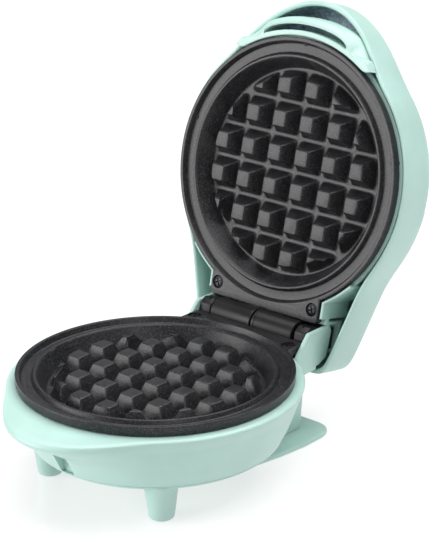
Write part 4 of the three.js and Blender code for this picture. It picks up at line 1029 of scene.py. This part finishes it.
piece("lid_frame", "lid", mint_lid_painted_shade, ledge,
      joins=[seat_solid, cross_wall, shelf, side_panel(), side_panel().moved(MIRROR), crescent_face(),
             lip_wall(), sloping_wall()],
      cuts=[slot_cut, slot_edge, wire_passage] + frame_holes, replaces=["lid_inner_frame"])

for where, (x, y) in frame_screw_places.items():
    screw, arms = cross_screw(*FRAME_SCREW)
    place = Matrix.Translation((x, y, ledge_top + 1.3))
    piece(f"inner_screw_{where}", "lid", dark_steel, screw.moved(place),
          cuts=[a.moved(place) for a in arms], replaces=[f"frame_screw_{where}"])

for name, sign, glass, slot in (("power", -1, red_lens, "red_lens"), ("ready", 1, green_lens, "green_lens")):
    lens = lathe(rounded([(0, 29.4), (3.0, 29.4, 0.2), (3.0, 32.2, 0.5), (2.4, 32.9, 0.8), (0, 33.2)],
                         closed=False, steps=5), 56)
    piece(f"{name}_light", "lid", glass, lens.at(sign * LENS_X, LENS_Y, 0), replaces=[f"{name}_lens"])

# ---------------------------------------------------------------- inner pieces keep their CAD shape

INNER = {
    "lower_heating_element": sheath, "upper_heating_element": sheath, "lower_heat_shield": sheet,
    "upper_heat_shield": sheet, "thermostat": sheet, "thermal_fuse": ceramic, "terminal_block": ceramic,
    "base_wire_loom": sleeving, "lid_wire_loom": sleeving, "power_lamp": neon, "ready_lamp": neon,
    "lamp_holder": black,
}
for node, material in INNER.items():
    mesh = frame["nodes"][node].data
    mesh.materials.clear()
    mesh.materials.append(material)

# ---------------------------------------------------------------- floor, light and camera


def stage():
    """A pale floor that reaches past the view."""
    reach, thickness = 4000, 20
    floor = new_object("floor", box(-reach, reach, -reach, reach, FLOOR_Z - thickness, FLOOR_Z))
    floor.data.transform(BASE)
    s = Shader("pale_floor")
    cloud = s.spread(s.noise(900, 0), 0.3, 0.7, 0, 1)
    shade = s.blend(cloud, (0.405, 0.402, 0.402), (0.425, 0.421, 0.421))
    floor.data.materials.append(s.finish(shade, Roughness=0.18, IOR=1.4, Emission_Color=(1, 0.99, 0.995, 1),
                                         Emission_Strength=0.6))


def area_light(name, place, side, power, colour=(1, 1, 1)):
    """A square light aimed at the middle of the object. Places and sides are in metres, power in watts."""
    light = bpy.data.lights.new(name, "AREA")
    light.shape = "RECTANGLE"
    light.size, light.size_y = side, side
    light.energy = power
    light.color = colour
    obj = bpy.data.objects.new(name, light)
    obj.location = place
    middle = PLATE_CENTRE + Vector((0, 0.02, 0.05))
    obj.rotation_euler = (middle - Vector(place)).to_track_quat("-Z", "Y").to_euler()
    bpy.context.scene.collection.objects.link(obj)


def lighting():
    world = bpy.data.worlds.new("studio")
    bpy.context.scene.world = world
    world.use_nodes = True
    background = world.node_tree.nodes["Background"]
    background.inputs["Color"].default_value = (0.98, 0.99, 1.0, 1)
    background.inputs["Strength"].default_value = 0.34
    area_light("overhead", (0.1, 0.3, 1.6), side=2.0, power=46)
    area_light("key_left", (-0.95, -1.22, 0.40), side=0.9, power=18, colour=(1.0, 0.99, 0.985))
    area_light("fill_right", (1.5, -0.9, 0.9), side=0.6, power=3.8)


CAMERA_SPOT = Vector((569.25, -620.85, 363.23))   # from the lower plate's centre
CAMERA_AZIMUTH, CAMERA_ELEVATION, CAMERA_ROLL = (math.radians(a) for a in (40.74, 20.65, -0.24))
FOCAL_LENGTH = 138.62
SENSOR_HEIGHT = 36


def camera():
    level = math.cos(CAMERA_ELEVATION)
    back = Vector((math.sin(CAMERA_AZIMUTH) * level, -math.cos(CAMERA_AZIMUTH) * level,
                   math.sin(CAMERA_ELEVATION)))
    right = Vector((math.cos(CAMERA_AZIMUTH), math.sin(CAMERA_AZIMUTH), 0))
    up = back.cross(right)
    c, s = math.cos(CAMERA_ROLL), math.sin(CAMERA_ROLL)
    axes = Matrix((c * right + s * up, -s * right + c * up, back)).transposed()
    data = bpy.data.cameras.new("camera")
    data.sensor_fit = "VERTICAL"
    data.sensor_height = SENSOR_HEIGHT
    data.lens = FOCAL_LENGTH
    data.clip_end = 50
    obj = bpy.data.objects.new("camera", data)
    obj.matrix_world = Matrix.Translation(PLATE_CENTRE + CAMERA_SPOT * MM) @ axes.to_4x4()
    bpy.context.scene.collection.objects.link(obj)
    bpy.context.scene.camera = obj


stage()
lighting()
camera()
bpy.context.scene.view_settings.view_transform = "Standard"
